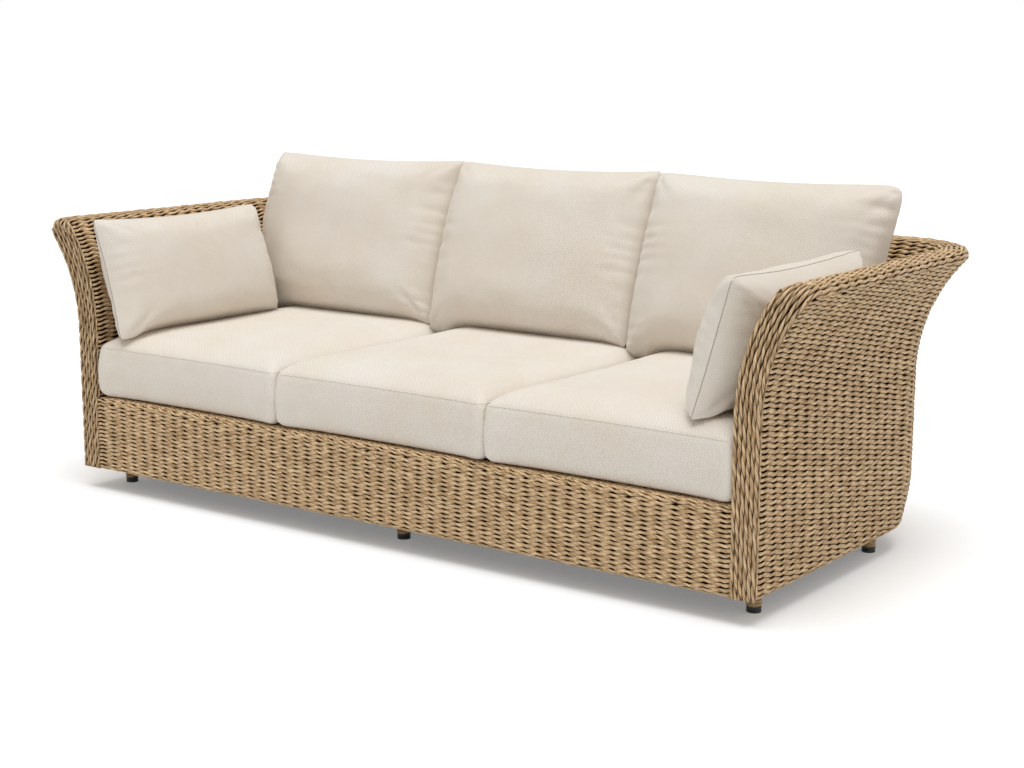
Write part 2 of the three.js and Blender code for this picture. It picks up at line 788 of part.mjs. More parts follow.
/** How far out the inner face of the wall lies at a height; past the rim it goes on at the same slope. */
function innerFace(shape, height) {
  const { inner, inner_radius } = sectionArcs(shape);
  const limit = rim_height - shoulder_radius - shape.flare_start;
  const rise = THREE.MathUtils.clamp(height - shape.flare_start, 0, limit);
  const depth = Math.sqrt(inner_radius ** 2 - rise ** 2);
  const past = Math.max(height - shape.flare_start - limit, 0);
  return inner.x - depth + (past * rise) / depth;
}

/** Presses a point of a soft piece back inside the arms and back. */
function pressed(point) {
  const side = innerFace(sideShape, point.z) - wall_gap;
  const rear = innerFace(rearShape, point.z) - wall_gap;
  const sign = Math.sign(point.x);
  const run = Math.min(Math.abs(point.x), half_width + side) - corner_x;
  const depth = Math.min(point.y, base_depth + rear) - corner_y;
  const reach = corner_radius + Math.min(side, rear) - wall_gap;
  const distance = Math.hypot(run, depth);
  const share = run > 0 && depth > 0 && distance > reach ? reach / distance : 1;
  point.x = sign * (corner_x + run * share);
  point.y = corner_y + depth * share;
  return point;
}

/** Places a leaning cushion on its foot line: along the line, up its height, and out of its face.
 *  Its foot is sunk a little, and pressed flat on the highest part of the seat under it. */
function leaning(foot, half_height, along, up, face, seat_point) {
  const rest = seatTop(seat_point) + soft_gap;
  return (p) => {
    const point = foot.clone().setZ(rest - soft_sink);
    point.addScaledVector(along, p.x).addScaledVector(up, p.y + half_height).addScaledVector(face, p.z);
    pressed(point);
    point.z = Math.max(point.z, rest);
    return point;
  };
}

function backCushions() {
  const half_y = back_cushion_height / 2;
  const up = at(0, Math.sin(back_cushion_lean), Math.cos(back_cushion_lean));
  const front = at(0, -Math.cos(back_cushion_lean), Math.sin(back_cushion_lean));
  const foot_y = inner_back - back_cushion_foot_inset;
  const levels = knifeLevels(back_cushion_thickness, back_cushion_front_share);
  const step = (middle_back_cushion_width + outer_back_cushion_width) / 2 + soft_gap;
  const cushions = [
    ['left', back_cushion_shift - step, outer_back_cushion_width],
    ['middle', back_cushion_shift, middle_back_cushion_width],
    ['right', back_cushion_shift + step, outer_back_cushion_width],
  ];
  cushions.forEach(([word, x, width], i) => {
    const seat_point = at(seatMiddle(i), foot_y - foot_reach, 0);
    const place = leaning(at(x, foot_y, 0), half_y, at(1, 0, 0), up, front, seat_point);
    const solid = softSolid(width / 2, half_y, back_cushion_corner, back_cushion_draw, levels, place);
    add(`back_cushion_${word}`, solid, canvas);
  });
}

function pillows() {
  const half_x = pillow_length / 2;
  const half_y = pillow_height / 2;
  const seat_y = seat_cushion_set_back + seat_cushion_depth / 2;
  const levels = knifeLevels(pillow_thickness, pillow_front_share);
  const inset = half_width - pillow_foot_inset;
  const places = [
    ['left', -1, inset + left_pillow_out, pillow_front_y - left_pillow_forward],
    ['right', 1, inset, pillow_front_y],
  ];
  for (const [word, side, foot_x, front_y] of places) {
    const up = at(side * Math.sin(pillow_lean), 0, Math.cos(pillow_lean));
    const inward = at(-side * Math.cos(pillow_lean), 0, Math.sin(pillow_lean));
    const seat_point = at(side * (foot_x - foot_reach), seat_y, 0);
    const foot = at(side * foot_x, front_y + half_x, 0);
    const place = leaning(foot, half_y, at(0, 1, 0), up, inward, seat_point);
    const solid = softSolid(half_x, half_y, pillow_corner, pillow_draw, levels, place);
    add(`pillow_${word}`, solid, canvas);
  }
}

add('apron_weave', apronWeave(), wicker);
for (const [word, side] of [['left', -1], ['right', 1]]) {
  add(`arm_weave_${word}`, armWeave(side), wicker);
  add(`corner_weave_${word}`, cornerWeave(side), wicker);
  add(`post_band_${word}`, postBand(side), wicker);
  add(`seat_deck_${word}`, seatDeck(side), webbing);
}
add('back_weave', backWeave(), wicker);
baseFrame();
seatFrame();
armPosts();
backPosts();
topRails();
legsAndGlides();
seatCushions();
backCushions();
pillows();

export default sofa;
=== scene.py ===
"""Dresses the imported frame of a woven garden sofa: strands, bands, legs, cushions and the studio round it."""
import json
import math
from contextlib import contextmanager
import bpy
import bmesh
import numpy as np
from bpy.props import FloatProperty, FloatVectorProperty, IntProperty, PointerProperty
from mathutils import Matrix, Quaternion, Vector


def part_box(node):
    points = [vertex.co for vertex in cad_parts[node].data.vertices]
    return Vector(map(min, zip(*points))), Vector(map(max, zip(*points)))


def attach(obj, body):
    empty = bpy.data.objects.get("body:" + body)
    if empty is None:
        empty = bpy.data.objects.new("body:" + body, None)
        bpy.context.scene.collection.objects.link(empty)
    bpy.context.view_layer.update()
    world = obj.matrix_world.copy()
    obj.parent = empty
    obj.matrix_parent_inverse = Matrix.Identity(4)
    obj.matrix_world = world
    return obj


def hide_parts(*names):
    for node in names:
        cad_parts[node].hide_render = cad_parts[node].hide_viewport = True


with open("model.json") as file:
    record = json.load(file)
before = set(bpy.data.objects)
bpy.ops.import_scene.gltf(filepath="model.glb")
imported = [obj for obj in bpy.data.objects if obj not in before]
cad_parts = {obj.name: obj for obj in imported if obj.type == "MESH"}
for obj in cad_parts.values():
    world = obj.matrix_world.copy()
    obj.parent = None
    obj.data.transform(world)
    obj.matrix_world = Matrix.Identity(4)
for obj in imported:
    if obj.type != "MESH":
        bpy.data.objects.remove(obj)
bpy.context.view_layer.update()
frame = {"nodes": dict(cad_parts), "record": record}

bl_info = {
    "name": "Woven garden sofa",
    "version": (1, 0, 0),
    "blender": (4, 5, 0),
    "location": "View3D > Sidebar > Sofa",
    "description": "Builds a woven garden sofa with loose cushions round its packed frame",
    "category": "Add Mesh",
}

# The shell's section and path in mm, as in the solids. Lengths along the sofa's depth start at the arms' front.
HALF_WIDTH = 1050.0
BASE_DEPTH = 915.0
OVERALL_DEPTH = 1031.0
CLEARANCE = 58.0
RIM_HEIGHT = 741.6
ARM_THICKNESS = 63.0
BOTTOM_LIP = 24.0
CORNER_RADIUS = 150.0
ARM_END = 705.0
LEAD = 60.0
NOSE_RADIUS = 18.0
SHOULDER_RADIUS = 30.0
RIM_FLAT = 36.5
DECK = 249.0
FRAME_FRONT = 14.6
CORNER_X = HALF_WIDTH - CORNER_RADIUS
CORNER_Y = BASE_DEPTH - CORNER_RADIUS
INNER_HALF = HALF_WIDTH - ARM_THICKNESS
ARM_SHAPE = {"reach": 90.5, "flare": 450.0, "bottom": 12.0}
REAR_SHAPE = {"reach": 98.0, "flare": 415.0, "bottom": 100.0}

# How many stakes each stretch of the shell has.
ARM_PITCHES = 15
LEAD_PITCHES = 1
ARC_PITCHES = 7
HALF_BACK_PITCHES = 21


def metre_setting(name, description, default, low, high):
    """A setting in metres."""
    return FloatProperty(name=name, description=description, default=default, min=low, max=high, subtype="DISTANCE",
                         unit="LENGTH")


def colour_setting(name, description, default):
    """A setting that is a colour."""
    return FloatVectorProperty(name=name, description=description, default=default, min=0.0, max=1.0, size=3,
                               subtype="COLOR")


def count_setting(name, description, default, low, high):
    """A setting that is a whole number."""
    return IntProperty(name=name, description=description, default=default, min=low, max=high)


def light_setting(name, description, default):
    """A setting that is a light's strength."""
    return FloatProperty(name=name, description=description, default=default, min=0.0)


class WeaveSettings(bpy.types.PropertyGroup):
    row_pitch: metre_setting("Row pitch", "Height of one woven row", 0.0122, 0.008, 0.03)
    apron_row_pitch: metre_setting("Apron row pitch", "Height of one woven row of the front panel", 0.0111, 0.008, 0.03)
    strand_half_width: metre_setting("Strand half width", "Half the width of a strand where it bows out", 0.0047,
                                     0.002, 0.01)
    strand_half_depth: metre_setting("Strand half depth", "Half the thickness of a strand", 0.0024, 0.001, 0.006)
    rise: metre_setting("Strand rise", "Height a strand lies off its row's middle on either side of a stake", 0.0022,
                        0.0, 0.006)
    apron_pitches: count_setting("Apron stakes", "Number of stakes along the front panel", 50, 20, 90)
    straw: colour_setting("Straw colour", "Main colour of the strands", (0.345, 0.20, 0.087))
    straw_pale: colour_setting("Pale straw colour", "Colour of the palest fibres", (0.84, 0.62, 0.375))
    # Painted shade: the colour the strands are drawn in where they dive into the holes of the weave.
    straw_hole_shade: colour_setting("Deep straw colour", "Colour in the holes of the weave", (0.040, 0.016, 0.005))


class BandSettings(bpy.types.PropertyGroup):
    ropes: count_setting("Ropes", "Twisted ropes side by side on an arm's front", 6, 3, 9)
    twist_pitch: metre_setting("Twist pitch", "Length of one full turn of a rope", 0.076, 0.02, 0.3)
    bend_radius: metre_setting("Top bend", "Radius with which the ropes turn over the rim", 0.040, 0.005, 0.06)


class CushionSettings(bpy.types.PropertyGroup):
    swell: metre_setting("Swell", "How far the filling may push the fabric out", 0.007, 0.0, 0.03)
    fabric: colour_setting("Fabric colour", "Main colour of the cushions", (0.89, 0.85, 0.80))
    fabric_shade: colour_setting("Fabric shade", "Colour between the fabric's threads", (0.61, 0.53, 0.445))
    seam_radius: metre_setting("Seam radius", "Half the thickness of a sewn seam line", 0.0011, 0.0004, 0.004)


class StudioSettings(bpy.types.PropertyGroup):
    key_strength: light_setting("Key light", "Strength of the soft light from above", 1.95)
    front_strength: light_setting("Front light", "Strength of the soft light from the front", 0.35)
    fill_strength: light_setting("Fill", "Strength of the light from all round", 0.45)
    floor_colour: colour_setting("Floor colour", "Colour of the floor", (0.86, 0.872, 0.89))


def clear_selection():
    """Leaves nothing selected and no mesh in edit mode."""
    if bpy.context.object and bpy.context.object.mode != "OBJECT":
        bpy.ops.object.mode_set(mode="OBJECT")
    bpy.ops.object.select_all(action="DESELECT")


def make_active(piece):
    clear_selection()
    piece.select_set(True)
    bpy.context.view_layer.objects.active = piece


@contextmanager
def editing(piece):
    """Edit mode with the whole mesh selected, and back again."""
    make_active(piece)
    bpy.ops.object.mode_set(mode="EDIT")
    bpy.ops.mesh.select_all(action="SELECT")
    yield
    bpy.ops.object.mode_set(mode="OBJECT")


def facing_out(piece):
    with editing(piece):
        bpy.ops.mesh.normals_make_consistent(inside=False)


def picked(piece, wanted):
    """Goes into edit mode with the wanted points selected."""
    with editing(piece):
        bpy.ops.mesh.select_mode(type="VERT")
        bpy.ops.mesh.select_all(action="DESELECT")
    piece.data.vertices.foreach_set("select", wanted)
    bpy.ops.object.mode_set(mode="EDIT")


def cut_across(piece, axis, places):
    """Cuts rings of new edges round a piece, across an axis, at the places given in metres."""
    plane = [0, 0, 0]
    plane[axis] = 1
    with editing(piece):
        for place in places:
            bpy.ops.mesh.select_all(action="SELECT")
            bpy.ops.mesh.bisect(plane_co=[place * p for p in plane], plane_no=plane)


def two_sheets(columns, rows):
    """A closed piece of two sheets with one grid, each point's column and row, and which are the first sheet's."""
    clear_selection()
    bpy.ops.mesh.primitive_grid_add(x_subdivisions=columns, y_subdivisions=rows, size=1)
    sheets = bpy.context.object
    modified(sheets, "SOLIDIFY", thickness=1, offset=-1)
    apply_modifiers(sheets)
    local = vertex_array(sheets)
    column, row = (np.rint((local[:, i] + 0.5) * steps).astype(int) for i, steps in enumerate((columns, rows)))
    return sheets, column, row, local[:, 2] > -0.5


def vertex_array(piece):
    values = np.empty(len(piece.data.vertices) * 3)
    piece.data.vertices.foreach_get("co", values)
    return values.reshape(-1, 3)


def set_vertices(piece, values):
    piece.data.vertices.foreach_set("co", np.ascontiguousarray(values, dtype=float).ravel())
    piece.data.update()


def without_uv(piece):
    while piece.data.uv_layers:
        piece.data.uv_layers.remove(piece.data.uv_layers[0])


def modified(piece, kind, **settings):
    """Gives a piece a modifier with its settings, to be applied with the others."""
    modifier = piece.modifiers.new(kind.lower(), kind)
    for key, value in settings.items():
        setattr(modifier, key, value)
    return modifier


def repeated(piece, count, step, **settings):
    """Repeats a piece along a step with an array."""
    modified(piece, "ARRAY", use_relative_offset=False, use_constant_offset=True, constant_offset_displace=step,
             count=count, **settings)


def joined(pieces, name):
    clear_selection()
    for piece in pieces:
        piece.select_set(True)
    bpy.context.view_layer.objects.active = pieces[0]
    bpy.ops.object.join()
    pieces[0].name = pieces[0].data.name = name
    return pieces[0]


def apply_modifiers(piece):
    make_active(piece)
    for modifier in list(piece.modifiers):
        bpy.ops.object.modifier_apply(modifier=modifier.name)


def place_applied(piece):
    make_active(piece)
    bpy.ops.object.transform_apply(location=True, rotation=True, scale=True)


def copy_of(piece, name):
    """A copy with its own mesh."""
    copy = piece.copy()
    copy.data = piece.data.copy()
    copy.name = copy.data.name = name
    bpy.context.collection.objects.link(copy)
    return copy


def finish_piece(piece, name, body, finish, nodes=()):
    """Names a piece, gives it its finish and ties it to the frame."""
    piece.name = piece.data.name = name
    piece.data.materials.clear()
    piece.data.materials.append(materials()[finish])
    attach(piece, body)
    if nodes:
        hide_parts(*nodes)


def smooth(piece, angle):
    make_active(piece)
    bpy.ops.object.shade_smooth_by_angle(angle=math.radians(angle))


# ---------------------------------------------------------------- node trees

NODE_COLUMNS = 6
NODE_STEP = (220, 320)


def add_node(tree, kind, inputs=None, **settings):
    """A node with its own settings, and with its inputs linked to sockets or set to values."""
    number = len(tree.nodes)
    node = tree.nodes.new(kind)
    node.location = (NODE_STEP[0] * (number % NODE_COLUMNS - NODE_COLUMNS), -NODE_STEP[1] * (number // NODE_COLUMNS))
    for key, value in settings.items():
        setattr(node, key, value)
    for key, value in (inputs or {}).items():
        if isinstance(value, bpy.types.NodeSocket):
            tree.links.new(value, node.inputs[key])
        else:
            node.inputs[key].default_value = value
    return node


def maths(tree, operation, first, second=0.0, clamp=False):
    return add_node(tree, "ShaderNodeMath", {0: first, 1: second}, operation=operation, use_clamp=clamp).outputs[0]


def mixed(tree, factor, first, second):
    return add_node(tree, "ShaderNodeMix", {0: factor, 6: first, 7: second}, data_type="RGBA").outputs[2]


def ranged(tree, value, low, high, to_low=0.0, to_high=1.0):
    return add_node(tree, "ShaderNodeMapRange", {"Value": value, "From Min": low, "From Max": high, "To Min": to_low,
                                                 "To Max": to_high}).outputs[0]


def noise(tree, vector, scale, detail=2.0, roughness=0.5):
    return add_node(tree, "ShaderNodeTexNoise", {"Vector": vector, "Scale": scale, "Detail": detail,
                                                 "Roughness": roughness}).outputs[0]


def stretched(tree, vector, scale):
    return add_node(tree, "ShaderNodeMapping", {"Vector": vector, "Scale": scale}).outputs[0]


def seen_directly(tree):
    """1 for rays from the camera and for those that a mirror or glass sends on."""
    path = add_node(tree, "ShaderNodeLightPath")
    seen = maths(tree, "MAXIMUM", path.outputs["Is Camera Ray"], path.outputs["Is Glossy Ray"])
    return maths(tree, "MAXIMUM", seen, path.outputs["Is Transmission Ray"])


def rgba(colour):
    return (*colour, 1.0)


def new_material(name, roughness=0.6, metallic=0.0, specular=0.5):
    material = bpy.data.materials.new(name)
    material.use_nodes = True
    tree = material.node_tree
    shader = tree.nodes["Principled BSDF"]
    shader.inputs["Roughness"].default_value = roughness
    shader.inputs["Metallic"].default_value = metallic
    shader.inputs["Specular IOR Level"].default_value = specular
    return material, tree, shader


def new_group(name, inputs, outputs):
    """A node group: inputs are names with default values, of which None is a vector and a tuple a colour."""
    group = bpy.data.node_groups.new(name, "ShaderNodeTree")
    kinds = {float: "NodeSocketFloat", tuple: "NodeSocketColor", type(None): "NodeSocketVector"}
    for label, value in inputs.items():
        socket = group.interface.new_socket(label, in_out="INPUT", socket_type=kinds[type(value)])
        if isinstance(value, float):
            socket.default_value = value
    for label, kind in outputs.items():
        group.interface.new_socket(label, in_out="OUTPUT", socket_type=f"NodeSocket{kind}")
    start, end = (add_node(group, kind) for kind in ("NodeGroupInput", "NodeGroupOutput"))
    return group, start.outputs, end.inputs


def placed_group(tree, group, inputs):
    return add_node(tree, "ShaderNodeGroup", inputs, node_tree=group).outputs


BLACK = (0.0, 0.0, 0.0, 1.0)


def fibre_group():
    """Fibre lines that run along a strand, from its own UV map: colour and height. The colour is darkened toward a
    shade colour by the strand's painted shade share: painted shade where it lies deep in the weave.
    """
    group, inputs, outputs = new_group(
        "strand_fibres", {"Vector": None, "Tone": 0.5, "Depth": 0.0, "Main": BLACK, "Pale": BLACK, "Shade": BLACK},
        {"Color": "Color", "Height": "Float"})
    fibres = noise(group, stretched(group, inputs["Vector"], (1.8, 2.6, 1.0)), 1.0, roughness=0.7)
    patches = noise(group, stretched(group, inputs["Vector"], (4.0, 1.5, 1.0)), 1.0)
    lines = ranged(group, fibres, 0.41, 0.59)
    toned = maths(group, "ADD", maths(group, "MULTIPLY", lines, 0.80), maths(group, "MULTIPLY", inputs["Tone"], 0.22))
    share = maths(group, "ADD", toned, ranged(group, patches, 0.35, 0.65, -0.08, 0.12), clamp=True)
    base = mixed(group, share, inputs["Main"], inputs["Pale"])
    # Painted shade: the strand's colour goes dark where it lies deep in the weave.
    dark = maths(group, "MULTIPLY", inputs["Depth"], 1.0, clamp=True)
    group.links.new(mixed(group, dark, base, inputs["Shade"]), outputs["Color"])
    group.links.new(lines, outputs["Height"])
    return group


def wear_group():
    """Soft uneven patches over a finish, from Object coordinates: a mask for colour and roughness."""
    group, inputs, outputs = new_group("uneven_finish", {"Scale": 20.0, "Low": 0.0, "High": 1.0}, {"Mask": "Float"})
    place = add_node(group, "ShaderNodeTexCoord").outputs["Object"]
    cloud = noise(group, place, inputs["Scale"], detail=4.0)
    group.links.new(ranged(group, cloud, 0.3, 0.7, inputs["Low"], inputs["High"]), outputs["Mask"])
    return group


def cloth_group():
    """A basket weave laid on whichever side a face looks to, from Object coordinates: its threads and soft clouds."""
    group, inputs, outputs = new_group("cloth_weave", {"Threads": 1.0}, {"Mask": "Float", "Cloud": "Float"})
    place = add_node(group, "ShaderNodeTexCoord").outputs
    x, y, z = add_node(group, "ShaderNodeSeparateXYZ", {0: place["Object"]}).outputs
    facing = add_node(group, "ShaderNodeSeparateXYZ", {0: place["Normal"]}).outputs
    top = ranged(group, maths(group, "ABSOLUTE", facing[2]), 0.55, 0.75)
    side = ranged(group, maths(group, "ABSOLUTE", facing[0]), 0.6, 0.8)
    density = maths(group, "MULTIPLY", inputs["Threads"], 2 * math.pi)

    def crossed(*ways):
        over, under = (maths(group, "SINE", maths(group, "MULTIPLY", way, density)) for way in ways)
        return maths(group, "MULTIPLY", over, under)

    upright = add_node(group, "ShaderNodeMix", {0: side, 2: crossed(x, z), 3: crossed(y, z)}).outputs[0]
    threads = add_node(group, "ShaderNodeMix", {0: top, 2: upright, 3: crossed(x, y)}).outputs[0]
    group.links.new(ranged(group, threads, -0.75, 0.75), outputs["Mask"])
    group.links.new(noise(group, place["Object"], 5.0, 5.0, 0.55), outputs["Cloud"])
    return group


# ---------------------------------------------------------------- materials

def painted(tree, shader, colour, height=None, strength=0.0, distance=0.0):
    """Gives a shader its colour, and bumps where there is a height."""
    tree.links.new(colour, shader.inputs["Base Color"])
    if height is not None:
        bump = add_node(tree, "ShaderNodeBump", {"Height": height, "Strength": strength, "Distance": distance})
        tree.links.new(bump.outputs[0], shader.inputs["Normal"])


def drifting(tree, wear, scale, first, second):
    """A colour that drifts in soft patches between two."""
    return mixed(tree, placed_group(tree, wear, {"Scale": scale})[0], rgba(first), rgba(second))


def straw_material(weave, fibres):
    """Strands: fibre lines along each one, its own tone, and painted shade, dark where it dives between its neighbours
    and along its row's edges.
    """
    material, tree, shader = new_material("woven_straw", roughness=0.62, specular=0.3)
    along = add_node(tree, "ShaderNodeUVMap", uv_map="strand_run").outputs[0]
    tone, depth = (add_node(tree, "ShaderNodeAttribute", attribute_name=name).outputs["Fac"]
                   for name in ("tone", "depth"))
    straw = placed_group(tree, fibres, {"Vector": along, "Tone": tone, "Depth": depth, "Main": rgba(weave.straw),
                                        "Pale": rgba(weave.straw_pale), "Shade": rgba(weave.straw_hole_shade)})
    painted(tree, shader, straw["Color"], straw["Height"], 0.55, 0.0008)
    return material


def core_material(weave, wear):
    """Painted shade seen through the holes of the weave: near-black, in soft patches."""
    material, tree, shader = new_material("weave_core", roughness=0.85, specular=0.1)
    low, high = ([c * share for c in weave.straw_hole_shade] for share in (0.5, 1.3))
    painted(tree, shader, drifting(tree, wear, 90.0, low, high))
    return material


def painted_tube(wear):
    material, tree, shader = new_material("painted_tube", roughness=0.45)
    grain = placed_group(tree, wear, {"Scale": 700.0})[0]
    painted(tree, shader, drifting(tree, wear, 14.0, (0.045, 0.030, 0.020), (0.065, 0.045, 0.031)), grain, 0.2, 0.0003)
    return material


def strap_material(cloth, wear):
    material, tree, shader = new_material("seat_strap", roughness=0.85, specular=0.2)
    threads = placed_group(tree, cloth, {"Threads": 200.0})["Mask"]
    patches = placed_group(tree, wear, {"Scale": 9.0, "Low": 0.0, "High": 0.5})[0]
    base = mixed(tree, threads, (0.07, 0.062, 0.052, 1), (0.155, 0.14, 0.12, 1))
    painted(tree, shader, mixed(tree, patches, base, (0.11, 0.1, 0.085, 1)), threads, 0.5, 0.0006)
    return material


def moulded_material(wear):
    material, tree, shader = new_material("moulded_black", roughness=0.42)
    painted(tree, shader, drifting(tree, wear, 60.0, (0.010, 0.010, 0.010), (0.022, 0.021, 0.020)))
    rough = placed_group(tree, wear, {"Scale": 35.0, "Low": 0.36, "High": 0.55})[0]
    tree.links.new(rough, shader.inputs["Roughness"])
    return material


def steel_material(wear):
    """Zinc-plated stud with the lines of its thread."""
    material, tree, shader = new_material("plated_stud", roughness=0.35, metallic=1.0)
    place = add_node(tree, "ShaderNodeTexCoord").outputs["Object"]
    thread = add_node(tree, "ShaderNodeTexWave", {"Vector": place, "Scale": 130.0}, wave_type="BANDS",
                      bands_direction="Z").outputs["Fac"]
    painted(tree, shader, drifting(tree, wear, 120.0, (0.42, 0.43, 0.44), (0.60, 0.61, 0.62)), thread, 0.8, 0.0006)
    return material


def fabric_material(cushion, cloth):
    """Cream outdoor fabric with a fine basket weave."""
    material, tree, shader = new_material("cushion_fabric", roughness=0.92, specular=0.15)
    shader.inputs["Sheen Weight"].default_value = 0.12
    shader.inputs["Sheen Roughness"].default_value = 0.5
    weave = placed_group(tree, cloth, {"Threads": 160.0})
    warm = [c * share for c, share in zip(cushion.fabric, (0.95, 0.92, 0.87))]
    base = mixed(tree, ranged(tree, weave["Cloud"], 0.35, 0.65), rgba(cushion.fabric), rgba(warm))
    gaps = maths(tree, "MULTIPLY", maths(tree, "SUBTRACT", 1.0, weave["Mask"]), 0.70)
    painted(tree, shader, mixed(tree, gaps, base, rgba(cushion.fabric_shade)), weave["Mask"], 0.60, 0.0010)
    return material


def seam_material():
    material, tree, shader = new_material("seam_thread", roughness=0.9, specular=0.1)
    stitches = noise(tree, add_node(tree, "ShaderNodeTexCoord").outputs["Object"], 400.0)
    painted(tree, shader, mixed(tree, stitches, (0.34, 0.28, 0.22, 1), (0.56, 0.49, 0.41, 1)))
    return material


made = {}


def materials():
    """Every finish of the sofa, built once."""
    if not made:
        scene = bpy.context.scene
        fibres, wear, cloth = fibre_group(), wear_group(), cloth_group()
        made.update(
            straw=straw_material(scene.sofa_weave, fibres), core=core_material(scene.sofa_weave, wear),
            tube=painted_tube(wear), strap=strap_material(cloth, wear), moulded=moulded_material(wear),
            steel=steel_material(wear), fabric=fabric_material(scene.sofa_cushions, cloth), seam=seam_material())
    return made


# ---------------------------------------------------------------- the shell's form

def arc_points(centre, radius, start, end, count, sign):
    """Points and outward normals of an arc; sign is 1 where the wall bulges and -1 where it is hollow."""
    angles = np.linspace(start, end, count)
    ring = np.stack([np.cos(angles), np.sin(angles)], axis=1)
    return np.array(centre) + radius * ring, sign * ring


def line_points(start, end, normal, count):
    share = np.linspace(0, 1, count)[:, None]
    points = (1 - share) * np.array(start) + share * np.array(end)
    return points, np.repeat([normal], count, axis=0)


def way_along(points):
    """How far along a line each of its points lies."""
    return np.concatenate([[0], np.cumsum(np.linalg.norm(np.diff(points, axis=0), axis=1))])


def chained(parts):
    """Points and normals of a chain of parts, and how far along they lie: as it is, and with no step of zero."""
    points, normals = (np.concatenate(values) for values in zip(*parts))
    far = way_along(points)
    return far, far + np.arange(len(far)) * 1e-6, points, normals


def section_line(shape):
    """The wall's skin from the bottom lip up the outer face, over the rim and down the inner face.
    Gives how far along each point lies, the points, their normals and how far along the rim's parts begin."""
    flare, bottom = shape["flare"], shape["bottom"]
    nose = (shape["reach"], RIM_HEIGHT - NOSE_RADIUS)
    shoulder = (nose[0] - RIM_FLAT, RIM_HEIGHT - SHOULDER_RADIUS)
    nose_rise, shoulder_rise = nose[1] - flare, shoulder[1] - flare
    outer_radius = (nose[0] ** 2 + nose_rise ** 2 - NOSE_RADIUS ** 2) / (2 * (nose[0] + NOSE_RADIUS))
    run = -ARM_THICKNESS - shoulder[0]
    inner_radius = (SHOULDER_RADIUS ** 2 - run ** 2 - shoulder_rise ** 2) / (2 * (run + SHOULDER_RADIUS))
    outer, inner = (outer_radius, flare), (inner_radius - ARM_THICKNESS, flare)
    nose_from = math.atan2(outer[1] - nose[1], outer[0] - nose[0])
    shoulder_to = math.atan2(shoulder[1] - inner[1], shoulder[0] - inner[0])
    quarter = math.pi / 2
    parts = [
        line_points((-bottom - BOTTOM_LIP, CLEARANCE), (-bottom, CLEARANCE), (0, -1), 6),
        arc_points((-bottom, CLEARANCE + bottom), bottom, -quarter, 0, 12, 1),
        line_points((0, CLEARANCE + bottom), (0, flare), (1, 0), 12),
        arc_points(outer, outer_radius, math.pi, nose_from + math.pi, 24, -1),
        arc_points(nose, NOSE_RADIUS, nose_from, quarter, 14, 1),
        line_points((nose[0], RIM_HEIGHT), (shoulder[0], RIM_HEIGHT), (0, 1), 6),
        arc_points(shoulder, SHOULDER_RADIUS, quarter, shoulder_to, 12, 1),
        arc_points(inner, inner_radius, shoulder_to, math.pi, 24, 1),
        line_points((-ARM_THICKNESS, flare), (-ARM_THICKNESS, DECK), (-1, 0), 8),
    ]
    far, rising, points, normals = chained(parts)
    starts = np.cumsum([0] + [len(p) for p, _ in parts])[:-1]
    return rising, points, normals, far[starts]


ARM_LINE = section_line(ARM_SHAPE)
REAR_LINE = section_line(REAR_SHAPE)
FOOT_AT, UPRIGHT_AT, _, NOSE_AT, FLAT_AT, SHOULDER_AT, INNER_AT = ARM_LINE[3][1:8]
SKIN_LENGTH = ARM_LINE[0][-1]


def matched(far):
    """Where a place on the arm's skin lies on the rear's skin: rows stay whole from the front to the back."""
    arm_marks = [0, FLAT_AT, INNER_AT, SKIN_LENGTH]
    rear_marks = [0, REAR_LINE[3][5], REAR_LINE[3][7], REAR_LINE[0][-1]]
    return np.interp(far, arm_marks, rear_marks)


def on_skin(line, far):
    """Reach and height at a place on a section, and the two parts of its normal."""
    return [np.interp(far, line[0], values) for values in (*line[1].T, *line[2].T)]


def arm_skin(far):
    """Places on the arm's section and the normals there."""
    reach, height, across, up = on_skin(ARM_LINE, far)
    return np.stack([reach, height], axis=-1), np.stack([across, up], axis=-1)


def skin_point(far, blend):
    """Reach and height of the skin and its normal, blended from the arm's section to the rear's."""
    arm, rear = on_skin(ARM_LINE, far), on_skin(REAR_LINE, matched(far))
    reach, height, across, up = (a + (r - a) * blend for a, r in zip(arm, rear))
    size = np.maximum(np.hypot(across, up), 1e-6)
    return reach, height, across / size, up / size


ARM_RUN = ARM_END - FRAME_FRONT
ARC_RUN = CORNER_RADIUS * math.pi / 2
STAKE_MARKS = np.cumsum([0, ARM_PITCHES, LEAD_PITCHES, ARC_PITCHES, HALF_BACK_PITCHES])
RUN_MARKS = np.cumsum([0, ARM_RUN, LEAD, ARC_RUN, CORNER_X])
ARM_STAKE = ARM_RUN / ARM_PITCHES
PAST_MIDDLE = 36.0


def shell_point(side, stake, far, out):
    """Places on the shell in metres, from the stake along it, the way over its skin and the height off it in mm."""
    run = np.interp(stake, STAKE_MARKS, RUN_MARKS)
    run = run + np.minimum(stake, 0) * ARM_STAKE + np.maximum(stake - STAKE_MARKS[-1], 0) * PAST_MIDDLE
    share = np.clip((run - ARM_RUN) / (LEAD + ARC_RUN), 0, 1)
    reach, height, across, up = skin_point(far, share * share * (3 - 2 * share))
    reach, height = reach + out * across, height + out * up
    angle = np.clip((run - RUN_MARKS[2]) / CORNER_RADIUS, 0, math.pi / 2)
    x = CORNER_X + (CORNER_RADIUS + reach) * np.cos(angle)
    y = CORNER_Y + (CORNER_RADIUS + reach) * np.sin(angle)
    y = y + np.minimum(run - RUN_MARKS[2], 0)
    x = x - np.maximum(run - RUN_MARKS[3], 0)
    return np.stack([side * x, y - OVERALL_DEPTH / 2, height], axis=1) / 1000


